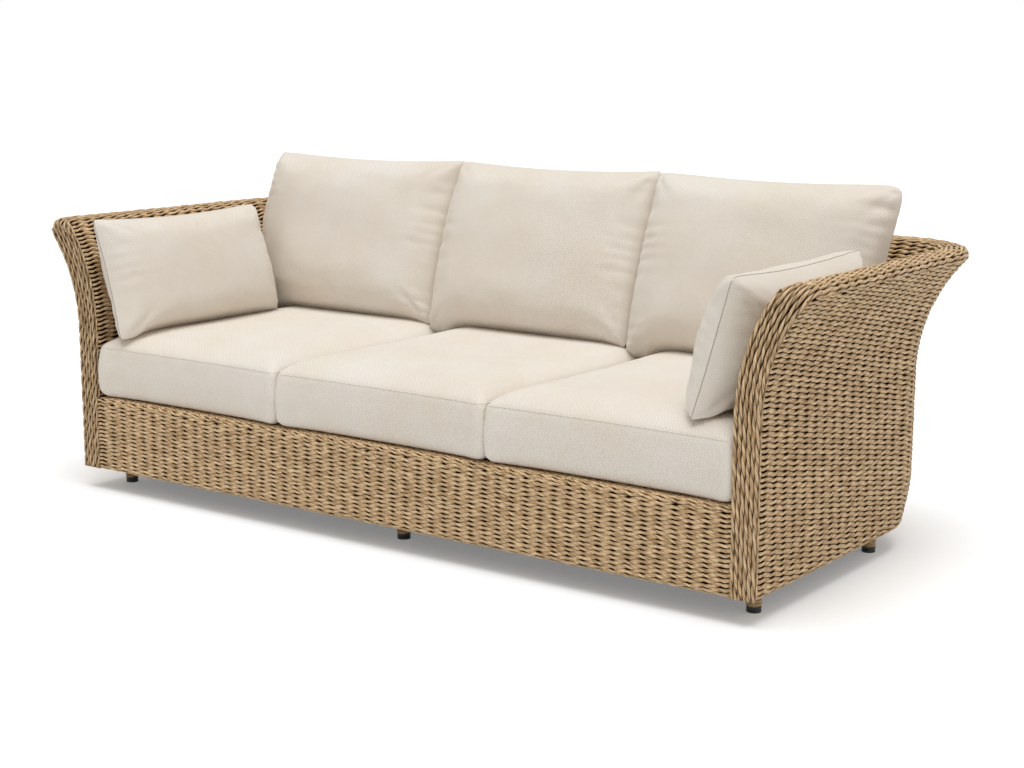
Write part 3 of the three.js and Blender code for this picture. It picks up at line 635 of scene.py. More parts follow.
APRON_HEIGHT = 202.0
APRON_ROLL = 13.0
APRON_LAP = 33.0
APRON_FOOT = ARM_SHAPE["bottom"]
APRON_FACE_TOP = BOTTOM_LIP + APRON_FOOT * math.pi / 2 + (APRON_HEIGHT - APRON_FOOT - APRON_ROLL)
APRON_SKIN = APRON_FACE_TOP + APRON_ROLL * math.pi / 2 + APRON_LAP


def apron_point(along, far, out):
    """Places on the front panel in metres: its lip, face and rolled top edge."""
    quarter = math.pi / 2
    top = CLEARANCE + APRON_HEIGHT
    _, length, points, normals = chained([
        line_points((APRON_FOOT + BOTTOM_LIP, CLEARANCE), (APRON_FOOT, CLEARANCE), (0, -1), 4),
        arc_points((APRON_FOOT, CLEARANCE + APRON_FOOT), APRON_FOOT, -quarter, -2 * quarter, 8, 1),
        line_points((0, CLEARANCE + APRON_FOOT), (0, top - APRON_ROLL), (-1, 0), 8),
        arc_points((APRON_ROLL, top - APRON_ROLL), APRON_ROLL, 2 * quarter, quarter, 8, 1),
        line_points((APRON_ROLL, top), (APRON_ROLL + APRON_LAP, top), (0, 1), 4),
    ])
    y, z, ny, nz = (np.interp(far, length, v) for v in (*points.T, *normals.T))
    return np.stack([along, y + out * ny - OVERALL_DEPTH / 2, z + out * nz], axis=1) / 1000


# ---------------------------------------------------------------- strands

# Where a strand has a ring along its length, counted from its middle in stakes, and the ring's width and depth.
STRAND_RINGS = ((-1.0, 0.7, 0.6), (-0.72, 1.0, 0.95), (-0.27, 1.0, 1.0), (-0.09, 0.72, 1.0),
                (0.09, 0.72, 1.0), (0.27, 1.0, 1.0), (0.72, 1.0, 0.95), (1.0, 0.7, 0.6))
# At these distances from its middle, how far a strand bows off its row and how deep it dives, in mm.
BOWS = (0.0, 0.09, 0.27, 0.72, 1.0)
BOW_SHARES = (0.0, 0.6, 1.0, 0.8, 0.0)
DIVES = (0.0, 0.1, 0.3, 2.6, 5.2)
# How unevenly strands lie: along the row in stakes, off the wall in mm, in their bow and in their width.
SHIFT, LIFT, TURN, WIDTH = 0.035, 0.30, 0.10, 0.07
ROW_SPACE = 100.0
STRAND_RUN = 0.43
FIBRE_TURN = 1.6


def strand_template(name):
    """One closed strand along X that comes out from behind a crossing, over the next one, and in behind the third."""
    clear_selection()
    bpy.ops.mesh.primitive_cylinder_add(vertices=5, radius=1.0, depth=2.0, end_fill_type="NGON",
                                        rotation=(0, math.pi / 2, 0))
    strand = bpy.context.object
    strand.name = strand.data.name = name
    place_applied(strand)
    cut_across(strand, 0, [stop for stop, _, _ in STRAND_RINGS[1:-1]])
    for stop, width, depth in STRAND_RINGS:
        picked(strand, np.abs(vertex_array(strand)[:, 0] - stop) < 1e-4)
        bpy.ops.transform.resize(value=(1, width, depth))
        bpy.ops.object.mode_set(mode="OBJECT")
    return strand


def set_strand_data(piece, along, around, tone, depth):
    """Writes the strand's own UV map, its tone and its painted shade: how dark it is drawn where it dives or lies in a
    groove.
    """
    mesh = piece.data
    without_uv(piece)
    layer = mesh.uv_layers.new(name="strand_run")
    corners = np.empty(len(mesh.loops), dtype=int)
    mesh.loops.foreach_get("vertex_index", corners)
    layer.data.foreach_set("uv", np.stack([along[corners], around[corners]], axis=1).ravel())
    for label, values in (("tone", tone), ("depth", depth)):
        attribute = mesh.attributes.new(label, "FLOAT", "POINT")
        attribute.data.foreach_set("value", np.ascontiguousarray(values, dtype=np.float32))


def woven_rows(name, columns, rows, seed, place, left_out, twist, slim=1.0):
    """Rows of strand pairs laid on a surface: in each pair one strand crosses over the other at every stake.
    place(stake, row, across, out) gives the points; left_out(column, row) marks strands that aren't there."""
    weave = bpy.context.scene.sofa_weave
    half_width, half_depth, rise = (1000 * size for size in (weave.strand_half_width * slim, weave.strand_half_depth,
                                                             weave.rise))
    strand = strand_template(name)
    count = len(strand.data.vertices)
    repeated(strand, columns, (ROW_SPACE, 0, 0))
    repeated(strand, rows, (0, ROW_SPACE, 0))
    apply_modifiers(strand)
    local = vertex_array(strand)
    number = np.arange(len(local)) // count
    gone = left_out(number % columns, number // columns)
    picked(strand, gone)
    bpy.ops.mesh.delete(type="VERT")
    bpy.ops.object.mode_set(mode="OBJECT")
    local, number = local[~gone], number[~gone]
    column, row = number % columns, number // columns
    along, wide, thick = (local - np.stack([column, row, 0 * row], axis=1) * ROW_SPACE).T
    pick = np.random.default_rng(seed)
    total = columns * rows
    tone = pick.random(total)[number]
    shift, lift, turn = (pick.normal(0, spread, total)[number] for spread in (SHIFT, LIFT, TURN))
    swell = pick.normal(1.0, WIDTH, total)[number]
    ends = np.abs(along)
    bow = np.interp(ends, BOWS, BOW_SHARES) * np.sign(along) * (1 + turn)
    across = wide * half_width * swell + twist * rise * bow
    out = thick * half_depth - half_depth + lift - np.interp(ends, BOWS, DIVES)
    set_vertices(strand, place(column + 0.5 + shift + along, row, across, out))
    run = along * STRAND_RUN + (pick.random(total) * 40)[number]
    around = np.abs(np.arctan2(thick, wide)) / math.pi + twist * FIBRE_TURN * along + (pick.random(total) * 9)[number]
    at_edge = np.abs(wide) > np.abs(wide).max() * 0.85
    # Painted shade: strands are drawn dark where they dive more than 3.4 mm into the weave, and a little darker along
    # their row's edges, for the dark lines between rows.
    set_strand_data(strand, run, around, tone, np.clip((-out - 3.4) / 1.8, 0, 1) + 0.42 * at_edge)
    make_active(strand)
    bpy.ops.object.shade_smooth()
    return strand


# How far in the dark sheet of painted shade behind the strands lies, from its face to its back, in mm.
SHADE_SHEET_FACE, SHADE_SHEET_BACK = 7.6, 9.6


def core_sheet(name, place, stakes, lengths):
    """A dark sheet of painted shade behind the strands, where the inside of the weave lies in shade: a closed slab
    between two surfaces laid by place(stake, far, out).
    """
    sheet, column, row, front = two_sheets(len(stakes) - 1, len(lengths) - 1)
    stake, far = stakes[column], lengths[row]
    set_vertices(sheet, np.where(front[:, None], place(stake, far, -SHADE_SHEET_FACE), place(stake, far, -SHADE_SHEET_BACK)))
    facing_out(sheet)
    bpy.ops.object.shade_smooth()
    finish_piece(sheet, name, "frame", "core")


HEM = 34.0
ROW_SLOPE = 0.19
SLANT_END = ARM_RUN * ROW_SLOPE + (LEAD + ARC_RUN) * ROW_SLOPE / 2
# How far past the ends of its zone a row may reach, in mm, and past the shell's front end, in stakes.
ROW_SLACK, STAKE_SLACK = 3.0, 0.12
RIM_SLIM = 0.88


def slant(stake):
    """How far the outer wall's rows have come down from the arms' front: evenly along the arm, level at the back."""
    run = np.interp(stake, STAKE_MARKS, RUN_MARKS)
    turned = np.clip(run - ARM_RUN, 0, LEAD + ARC_RUN)
    return ROW_SLOPE * (np.minimum(run, ARM_RUN) + turned - turned ** 2 / (2 * (LEAD + ARC_RUN)))


def woven_zones(name, ends, drop_end, row_pitch, stakes, seeds, slims, twist, drop, lay, hidden):
    """Weaves a surface in three zones: level rows at the hem, rows that come down by drop, and level rows above.
    lay(stake, far, out) gives the points, and hidden(stake, far) marks places that stay bare."""
    pieces = []
    starts = (0.0, HEM, ends[0])
    for start, end, past, seed, slim in zip(starts, (HEM, *ends), (0.0, drop_end, 0.0), seeds, slims):
        pitch = (end - start) / round((end - start) / row_pitch)

        def row_at(stake, row):
            return start + (row + 0.5) * pitch - (drop(stake) if past else 0.0)

        def place(stake, row, across, out):
            far = np.clip(row_at(stake, row) + across, max(start - ROW_SLACK, 0.0), end + ROW_SLACK)
            return lay(stake, far, out)

        def left_out(column, row):
            far = row_at(column + 0.5, row)
            return (far < start) | (far > end) | hidden(column + 0.5, far)

        rows = round((end - start + past) / pitch)
        pieces.append(woven_rows(name, stakes, rows, seed, place, left_out, twist, slim))
    return joined(pieces, name)


# How far along the arm's skin the band's outermost and innermost ropes turn over the rim.
BAND_OUTER, BAND_INNER = NOSE_AT + 8, SHOULDER_AT + 16


def turned_back(far):
    """How far back, in stakes, the woven wall begins at the arms' front, where the ropes turn over the rim."""
    bend = bpy.context.scene.sofa_bands.bend_radius * 1000
    near = np.clip(np.minimum(far - (BAND_OUTER - bend), BAND_INNER + bend - far), 0, bend)
    return (bend - np.sqrt(bend ** 2 - near ** 2)) / ARM_STAKE


def woven_shell(name, side, first_stake, stakes, seed, nodes):
    """One stretch of the woven wall with the dark sheet of painted shade behind it: hem, outer wall, and rim with inner
    wall.
    """
    def lay(stake, far, out):
        return shell_point(side, np.maximum(stake + first_stake, turned_back(far) - STAKE_SLACK), far, out)

    # Seen from outside every strand rises to the right, on the left side too.
    strands = woven_zones(name, (NOSE_AT, SKIN_LENGTH), SLANT_END, bpy.context.scene.sofa_weave.row_pitch * 1000,
                          stakes, (seed, seed + 7, seed + 14), (1.0, 1.0, RIM_SLIM), side,
                          lambda stake: slant(stake + first_stake), lay,
                          lambda stake, far: stake + first_stake < turned_back(far))
    if side < 0:
        with editing(strands):
            bpy.ops.mesh.flip_normals()
    finish_piece(strands, name, "frame", "straw", nodes)

    def lay_core(stake, far, out):
        back = turned_back(far) + 5.0 / ARM_STAKE
        return shell_point(side, np.maximum(stake, back + 0.02 * stake), far, out)

    lengths = np.concatenate([np.linspace(0, NOSE_AT, 30)[:-1], np.linspace(NOSE_AT, INNER_AT, 14)[:-1],
                              np.linspace(INNER_AT, SKIN_LENGTH, 16)])
    core_sheet(f"{name}_core", lay_core, np.linspace(first_stake, first_stake + stakes, stakes + 1), lengths)


def woven_apron():
    weave = bpy.context.scene.sofa_weave
    stake_pitch = 2 * INNER_HALF / weave.apron_pitches

    def along(stake):
        return np.clip(stake * stake_pitch - INNER_HALF, -INNER_HALF - ROW_SLACK, INNER_HALF + ROW_SLACK)

    strands = woven_zones("apron_strands", (APRON_FACE_TOP, APRON_SKIN), 2 * INNER_HALF * ROW_SLOPE,
                          weave.apron_row_pitch * 1000, weave.apron_pitches, (5, 6, 7), (1.0, 1.0, 1.0), -1,
                          lambda stake: (INNER_HALF - along(stake)) * ROW_SLOPE,
                          lambda stake, far, out: apron_point(along(stake), far, out), lambda stake, far: False)
    finish_piece(strands, "apron_strands", "frame", "straw", ["apron_weave"])
    core_sheet("apron_core", apron_point, np.linspace(-INNER_HALF + 1, INNER_HALF - 1, 12),
               np.linspace(0, APRON_SKIN, 28))


# ---------------------------------------------------------------- ropes

# How far apart a rope's two strands lie before they are laid, and how far apart its rings are in mm.
PLY_SPACE = 10.0
RING_STEP = 7.0


def rope_mesh(name, rings):
    """Two strands side by side with many rings each, as straight closed tubes along X from 0 to 1."""
    clear_selection()
    step = 1.0 / (rings - 1)
    bpy.ops.mesh.primitive_cylinder_add(vertices=6, radius=1.0, depth=step, end_fill_type="NOTHING",
                                        location=(step / 2, 0, 0), rotation=(0, math.pi / 2, 0))
    rope = bpy.context.object
    rope.name = rope.data.name = name
    place_applied(rope)
    repeated(rope, rings - 1, (step, 0, 0), use_merge_vertices=True, merge_threshold=step / 50)
    repeated(rope, 2, (0, PLY_SPACE, 0))
    apply_modifiers(rope)
    with editing(rope):
        bpy.ops.mesh.select_mode(type="EDGE")
        bpy.ops.mesh.select_all(action="DESELECT")
        bpy.ops.mesh.select_non_manifold()
        bpy.ops.mesh.fill_holes(sides=8)
    facing_out(rope)
    return rope


def lay_rope(name, points, normals, radius, pitch, phase, seed):
    """A twisted rope of two strands along a line given in mm, with the side it faces."""
    far = way_along(points)
    length = far[-1]
    tangent = np.gradient(points, axis=0)
    tangent /= np.linalg.norm(tangent, axis=1)[:, None]
    normal = normals - (normals * tangent).sum(axis=1)[:, None] * tangent
    normal /= np.linalg.norm(normal, axis=1)[:, None]
    rope = rope_mesh(name, max(12, int(length / RING_STEP)))
    share, wide, thick = vertex_array(rope).T
    ply = (wide > PLY_SPACE / 2).astype(int)
    wide = wide - ply * PLY_SPACE
    around = np.arctan2(thick, wide) / (2 * math.pi)
    at = share * length
    pick = np.random.default_rng(seed)
    waves = pick.random(4) * 6.28
    turn = 2 * math.pi * at / pitch + phase + math.pi * ply + 0.35 * np.sin(at / 41 + waves[0])
    swell = radius * 0.60 * (1 + 0.07 * np.sin(at / 17 + waves[1]) + 0.05 * np.sin(at / 7.3 + waves[2] + ply * 2))
    off, up = radius * 0.43 + swell * wide * 0.86, swell * thick * 1.12
    across, out = off * np.cos(turn) - up * np.sin(turn), off * np.sin(turn) + up * np.cos(turn)
    base, side, lift = (np.stack([np.interp(at, far, v) for v in values.T], axis=1)
                        for values in (points, np.cross(tangent, normal), normal))
    set_vertices(rope, (base + side * across[:, None] + lift * out[:, None]) / 1000)
    tone = pick.random(2)[ply] * 0.7 + 0.15 + 0.15 * np.sin(at / 33 + waves[2])
    # Painted shade: each ply is drawn darker where it turns away under its neighbour, into the band.
    sink = np.clip((0.68 - out / radius) / 0.64, 0, 1)
    set_strand_data(rope, at / 100 + ply * 3.3 + seed, np.abs(around) * 2 + ply * 5.1 + seed * 0.37, tone, sink)
    make_active(rope)
    bpy.ops.object.shade_smooth()
    return rope


LINE_STEPS = 70
INNER_STEPS = 25


def band_line(side, share, bend, lift):
    """The line of one rope on an arm's front: up the face between its outer and inner edge, over the rim and back."""
    steps = np.linspace(0, 1, LINE_STEPS)
    outer = arm_skin(UPRIGHT_AT + (BAND_OUTER - UPRIGHT_AT) * steps)[0]
    inner = arm_skin(SKIN_LENGTH + (BAND_INNER - SKIN_LENGTH) * steps)[0]
    drop = np.linspace(inner[0, 1], CLEARANCE + 12, INNER_STEPS + 1)[:-1][::-1]
    inner = np.concatenate([np.stack([np.full(INNER_STEPS, -ARM_THICKNESS), drop], axis=1), inner])
    inner_far = way_along(inner)
    inner = np.stack([np.interp(steps * inner_far[-1], inner_far, values) for values in inner.T], axis=1)
    face = outer * (1 - share) + inner * share
    top, top_normal = arm_skin(BAND_OUTER + (BAND_INNER - BAND_OUTER) * share)
    top_normal /= np.linalg.norm(top_normal)
    face = face + (top - face[-1]) * steps[:, None] ** 3
    face = np.concatenate([[[face[0, 0], CLEARANCE + 1.0]], face])
    face = face[np.linalg.norm(face - top, axis=1) > bend + 2]
    heading = top - face[-1]
    heading /= np.linalg.norm(heading)
    face = np.concatenate([face, [top - heading * bend]])
    points = [(side * (HALF_WIDTH + u), -lift, z) for u, z in face]
    facing = [(0.0, -1.0, 0.0)] * len(face)
    for angle in np.linspace(0.1, math.pi / 2, 9):
        rise, fall = math.sin(angle), math.cos(angle)
        spot = face[-1] + heading * bend * rise + top_normal * lift * rise
        points.append((side * (HALF_WIDTH + spot[0]), bend * (1 - fall) - lift * fall, spot[1]))
        facing.append((side * top_normal[0] * rise, -fall, top_normal[1] * rise))
    last = np.array(points[-1])
    for run in np.linspace(6, 74, 12):
        sink = 6.0 * max(0.0, (run - 20) / 54) ** 1.5
        points.append(tuple(last + np.array([-side * top_normal[0] * sink, run, -top_normal[1] * sink])))
        facing.append((side * top_normal[0], 0.0, top_normal[1]))
    return np.array(points) - (0, OVERALL_DEPTH / 2, 0), np.array(facing)


def edge_line(side, start, end, depth, off):
    """The line of a rope that follows an edge of the arm's front on its side face."""
    points, facing = arm_skin(np.linspace(start, end, 60))
    facing /= np.linalg.norm(facing, axis=1)[:, None]
    reach, height = (points + facing * off).T
    places = np.stack([side * (HALF_WIDTH + reach), np.full(60, depth - OVERALL_DEPTH / 2), height], axis=1)
    return places, np.stack([side * facing[:, 0], np.zeros(60), facing[:, 1]], axis=1)


def post_band(side, word):
    """The twisted ropes that close an arm's front, with a rope along both edges."""
    settings = bpy.context.scene.sofa_bands
    bend = settings.bend_radius * 1000
    pitch = settings.twist_pitch * 1000 * side
    radius = ARM_THICKNESS / settings.ropes * 0.56
    pieces = []
    for i in range(settings.ropes):
        points, facing = band_line(side, (i + 0.5) / settings.ropes, bend, -5.5)
        pieces.append(lay_rope("rope", points, facing, radius, pitch, i * 1.9, 11 + i))
    for i, (start, end) in enumerate(((FOOT_AT, NOSE_AT - 4), (SKIN_LENGTH - 8, SHOULDER_AT + 24))):
        points, facing = edge_line(side, start, end, 11.0, -4.6)
        pieces.append(lay_rope("edge", points, facing, 6.2, pitch, i * 2.2, 31 + i))
    name = f"band_ropes_{word}"
    finish_piece(joined(pieces, name), name, "frame", "straw", [f"post_band_{word}"])


BAND_SHADE_DEPTHS = (6.5, 15.5)


def band_core(side, word):
    """A dark plate of painted shade behind the band's ropes."""
    clear_selection()
    far = np.concatenate([np.linspace(FOOT_AT, NOSE_AT, 40)[:-1], np.linspace(NOSE_AT, INNER_AT, 16)[:-1],
                          np.linspace(INNER_AT, SKIN_LENGTH, 22)])
    points, normals = arm_skin(far)
    ring = points - 5.0 * normals
    ring = ring[ring[:, 1] < RIM_HEIGHT - bpy.context.scene.sofa_bands.bend_radius * 1000 - 12]
    ring = np.concatenate([ring, [[-ARM_THICKNESS + 5, CLEARANCE + 8], [-5, CLEARANCE + 8]]])
    bpy.ops.mesh.primitive_cylinder_add(vertices=len(ring), end_fill_type="NGON")
    plate = bpy.context.object
    reach, height = np.repeat(ring, 2, axis=0).T
    depth = np.tile(BAND_SHADE_DEPTHS, len(ring)) - OVERALL_DEPTH / 2
    set_vertices(plate, np.stack([side * (HALF_WIDTH + reach), depth, height], axis=1) / 1000)
    with editing(plate):
        bpy.ops.mesh.quads_convert_to_tris()
        bpy.ops.mesh.normals_make_consistent(inside=False)
    finish_piece(plate, f"band_core_{word}", "frame", "core")


# ---------------------------------------------------------------- legs

LEG_TURNS = 7


def turned(low, high, sides, cuts):
    """An upright cylinder that fills a box, with rings cut round it at shares of its height.
    Gives the piece, its points, their shares of the height and the middle they stand round."""
    clear_selection()
    low, high = np.array(low), np.array(high)
    middle = (low + high) / 2
    height = high[2] - low[2]
    bpy.ops.mesh.primitive_cylinder_add(vertices=sides, radius=(high[0] - low[0]) / 2, depth=height,
                                        location=tuple(middle))
    piece = bpy.context.object
    place_applied(piece)
    cut_across(piece, 2, [low[2] + height * share for share in cuts])
    points = vertex_array(piece)
    return piece, points, (points[:, 2] - low[2]) / height, middle[:2]


def drawn_in(piece, points, middle, shrink):
    points[:, :2] = middle + (points[:, :2] - middle) * shrink[:, None]
    set_vertices(piece, points)


def wound_leg(low, high):
    """A leg stub wound with a strand: rings that swell out one above the other, inside the leg's own box."""
    cuts = LEG_TURNS * 4
    leg, points, share, middle = turned(low, high, 28, np.arange(1, cuts) / cuts)
    across, deep = (points[:, :2] - middle).T
    around = np.arctan2(deep, across) / (2 * math.pi)
    wave = np.abs(np.sin(math.pi * (share * LEG_TURNS + around)))
    rim = (share < 1e-4) | (share > 1 - 1e-4)
    drawn_in(leg, points, middle, np.where(rim, 0.90, 0.89 + 0.11 * wave))
    # Painted shade: the strand is drawn darker in the grooves between its rings.
    set_strand_data(leg, around * 1.1, share * LEG_TURNS, np.full(len(points), 0.4), np.clip(0.75 - wave, 0, 1))
    smooth(leg, 60)
    return leg


def glide_pad(low, high):
    """A round moulded glide: turned body with a rounded foot and a groove round its side."""
    pad, points, share, middle = turned(low, high, 48, (0.40, 0.46, 0.54, 0.60))
    drawn_in(pad, points, middle, np.where((share > 0.45) & (share < 0.55), 0.93, 1.0))
    modified(pad, "BEVEL", width=0.0016, segments=3, limit_method="ANGLE", angle_limit=math.radians(40))
    apply_modifiers(pad)
    smooth(pad, 35)
    return pad


# ---------------------------------------------------------------- cushions

SEATS = [f"seat_cushion_{word}_cover" for word in ("left", "middle", "right")]
WALLS = [f"{part}_strands_{word}_core" for part in ("arm", "corner", "back") for word in ("left", "right")]
PRESSURE = 3.0
FRAMES = 20


def soft_copy(node, name):
    """A copy of a soft solid with its loose triangles merged."""
    piece = copy_of(frame["nodes"][node], name)
    piece.parent = None
    piece.hide_render = piece.hide_viewport = False
    piece.hide_set(False)
    with editing(piece):
        bpy.ops.mesh.remove_doubles(threshold=0.0002)
        bpy.ops.mesh.normals_make_consistent(inside=False)
    without_uv(piece)
    return piece


def subdivided(piece):
    modified(piece, "SUBSURF", levels=1, render_levels=1)
    apply_modifiers(piece)


def inflated(piece, swell, kept):
    """Lets the filling push the fabric out by cloth simulation, no point further than swell.
    Along the axes that are kept, the piece has its first length again afterwards."""
    before = vertex_array(piece)
    scene = bpy.context.scene
    make_active(piece)
    cloth = modified(piece, "CLOTH")
    settings = cloth.settings
    settings.quality = 5
    settings.mass = 0.3
    settings.tension_stiffness = settings.compression_stiffness = 12
    settings.shear_stiffness = 6
    settings.bending_stiffness = 0.4
    settings.use_pressure = True
    settings.uniform_pressure_force = PRESSURE
    settings.effector_weights.gravity = 0
    cloth.collision_settings.use_collision = False
    cloth.point_cache.frame_start, cloth.point_cache.frame_end = 1, FRAMES
    for step in range(1, FRAMES + 1):
        scene.frame_set(step)
    apply_modifiers(piece)
    scene.frame_set(1)
    move = vertex_array(piece) - before
    size = np.linalg.norm(move, axis=1)
    after = before + move * (np.minimum(size, swell) / np.maximum(size, 1e-9))[:, None]
    for axis in kept:
        low, high = before[:, axis].min(), before[:, axis].max()
        middle, stretch = (high + low) / 2, (high - low) / np.ptp(after[:, axis])
        after[:, axis] = middle + (after[:, axis] - middle) * stretch
    set_vertices(piece, after)


def seam_loop(piece, origin, normal):
    """The line where a plane cuts a cushion, as one ordered loop of places."""
    work = bmesh.new()
    work.from_mesh(piece.data)
    cut = bmesh.ops.bisect_plane(work, geom=work.verts[:] + work.edges[:] + work.faces[:],
                                 plane_co=origin, plane_no=normal)
    links = {}
    for edge in cut["geom_cut"]:
        if isinstance(edge, bmesh.types.BMEdge):
            a, b = edge.verts
            links.setdefault(a, []).append(b)
            links.setdefault(b, []).append(a)
    longest, seen = [], set()
    for start in links:
        loop, here = [], start
        while here not in seen:
            seen.add(here)
            loop.append(here)
            here = next((v for v in links[here] if v not in seen), here)
        longest = max(longest, loop, key=len)
    points = np.array([v.co[:] for v in longest])
    work.free()
    return points


def seam_cord(node, points, radius, finish):
    """A thin sewn cord along a closed loop, a little sunk in the fabric."""
    far = way_along(points)
    count = int(far[-1] / 0.012)
    even = np.stack([np.interp(np.linspace(0, far[-1], count, endpoint=False), far, v) for v in points.T], axis=1)
    curve = bpy.data.curves.new("seam", "CURVE")
    curve.dimensions = "3D"
    curve.bevel_depth, curve.bevel_resolution = radius, 1
    spline = curve.splines.new("POLY")
    spline.points.add(count - 1)
    for spot, place in zip(spline.points, even):
        spot.co = (*place, 1)
    spline.use_cyclic_u = True
    cord = bpy.data.objects.new("seam", curve)
    bpy.context.collection.objects.link(cord)
    make_active(cord)
    bpy.ops.object.convert(target="MESH")
    cord = bpy.context.object
    bpy.ops.object.shade_smooth()
    finish_piece(cord, f"{node}_seam", node, finish)


# Leaning cushions. full: share of the solid that rays are cast at; side_bow and top_bow: how far the edges bow in
# at the left and right, and at the top; grow: how far it reaches past the solid's sides; sink: how far its foot may
# come down; corners: how much the top left, top right and lower corners are rounded; cord and finish: its seam;
# pucker: depth and reach of the folds at its side seams. Lengths in metres.
BACK_FORM = {"full": 0.978, "side_bow": (-0.004, -0.004), "top_bow": 0.012, "grow": 0.001, "sink": 0.025,
             "corners": (0.005, 0.002, 0.005), "cord": 0.7, "finish": "fabric", "pucker": (0.0072, 0.036)}
SLACK_BACK_FORM = {**BACK_FORM, "side_bow": (-0.004, 0.018), "corners": (0.005, 0.016, 0.005),
                   "pucker": (0.0105, 0.050)}
PILLOW_FORM = {"full": 0.987, "side_bow": (0.008, 0.008), "top_bow": 0.013, "grow": 0.006, "sink": 0.010,
               "corners": (0.007, 0.007, 0.005), "cord": 0.8, "finish": "seam", "pucker": (0.0055, 0.038)}
BACK_LEAN, PILLOW_LEAN = math.radians(20), math.radians(17)
KNIFE_SPACING = 0.0085
LOWER_PUCKER = (0.0038, 0.040)
CUSHION_DRAW = 0.016
KNIFE_EDGE = 0.0012
FOOT_ROWS = 4
FOOT_REACH = 7
WALL_MARGIN = 0.009


def crease(along, phase):
    """Small folds that cross a seam: 1 at the bottom of a fold, 0 between folds, uneven along the seam."""
    wave = np.sin(2 * math.pi * along / 0.037 + 1.9 * np.sin(2 * math.pi * along / 0.21 + phase) + phase)
    strength = 0.60 + 0.40 * np.sin(2 * math.pi * along / 0.29 + 2.3 * phase)
    return strength * (0.5 + 0.5 * wave) ** 2


def folds(u, v, half, seed, pucker):
    """How far a knife-edged sheet lies in at its seams' puckers and its corners' folds, in metres."""
    pick = np.random.default_rng(seed)
    sink = np.zeros(len(u))
    for axis, other, length, run in ((u, v, half[0], half[1]), (v, u, half[1], half[0])):
        for sign in (-1, 1):
            away = length * (1 - sign * axis)
            deep, reach = pucker if axis is u else LOWER_PUCKER
            sink += deep * np.exp(-away / reach) * crease(other * run, pick.random() * 6.28)
    for way_u in (-1, 1):
        for way_v in (-1, 1):
            right, up = half[0] * (1 - way_u * u), half[1] * (1 - way_v * v)
            far, angle = np.hypot(right, up), np.arctan2(up, right)
            fan = (0.5 + 0.5 * np.cos(9 * angle + pick.random() * 6.28)) ** 2
            sink += 0.0045 * np.exp(-((far - 0.065) / 0.045) ** 2) * fan
    x, y = u * half[0], v * half[1]
    roll = np.sin(2 * math.pi * (x / 0.33 + y / 0.47) + pick.random() * 6.28)
    roll = roll * np.sin(2 * math.pi * (x / 0.55 - y / 0.31) + pick.random() * 6.28)
    return sink + 0.0022 * roll


def height_on(solid, spots, face):
    """Heights of a solid's front and back above and below places, along the direction it faces; nan where it isn't."""
    found = np.full((len(spots), 2), np.nan)
    for i, spot in enumerate(spots):
        for k, way in enumerate((1, -1)):
            hit, place, _, _ = solid.ray_cast(Vector(spot + face * way * 0.5), Vector(face * -way))
            if hit:
                found[i, k] = np.dot(np.array(place), face)
    found[np.isnan(found).any(axis=1)] = np.nan
    return found


def solid_heights(solid, axes, u, v, half, middle, full):
    """Heights of a solid's front and back at places u, v across it; where rays miss they are cast further in."""
    heights = np.full((*u.shape, 2), np.nan)
    for share in (full, full - 0.02, 0.92, 0.90, 0.87, 0.84, 0.80, 0.75, 0.70):
        missing = np.isnan(heights[..., 0])
        if not missing.any():
            break
        flat = np.stack([middle[0] + u * (half[0] - CUSHION_DRAW * (1 - v * v)) * share,
                         middle[1] + v * (half[1] - CUSHION_DRAW * (1 - u * u)) * share,
                         np.full(u.shape, middle[2])], axis=2)[missing]
        heights[missing] = height_on(solid, flat @ axes, axes[2])
    return heights


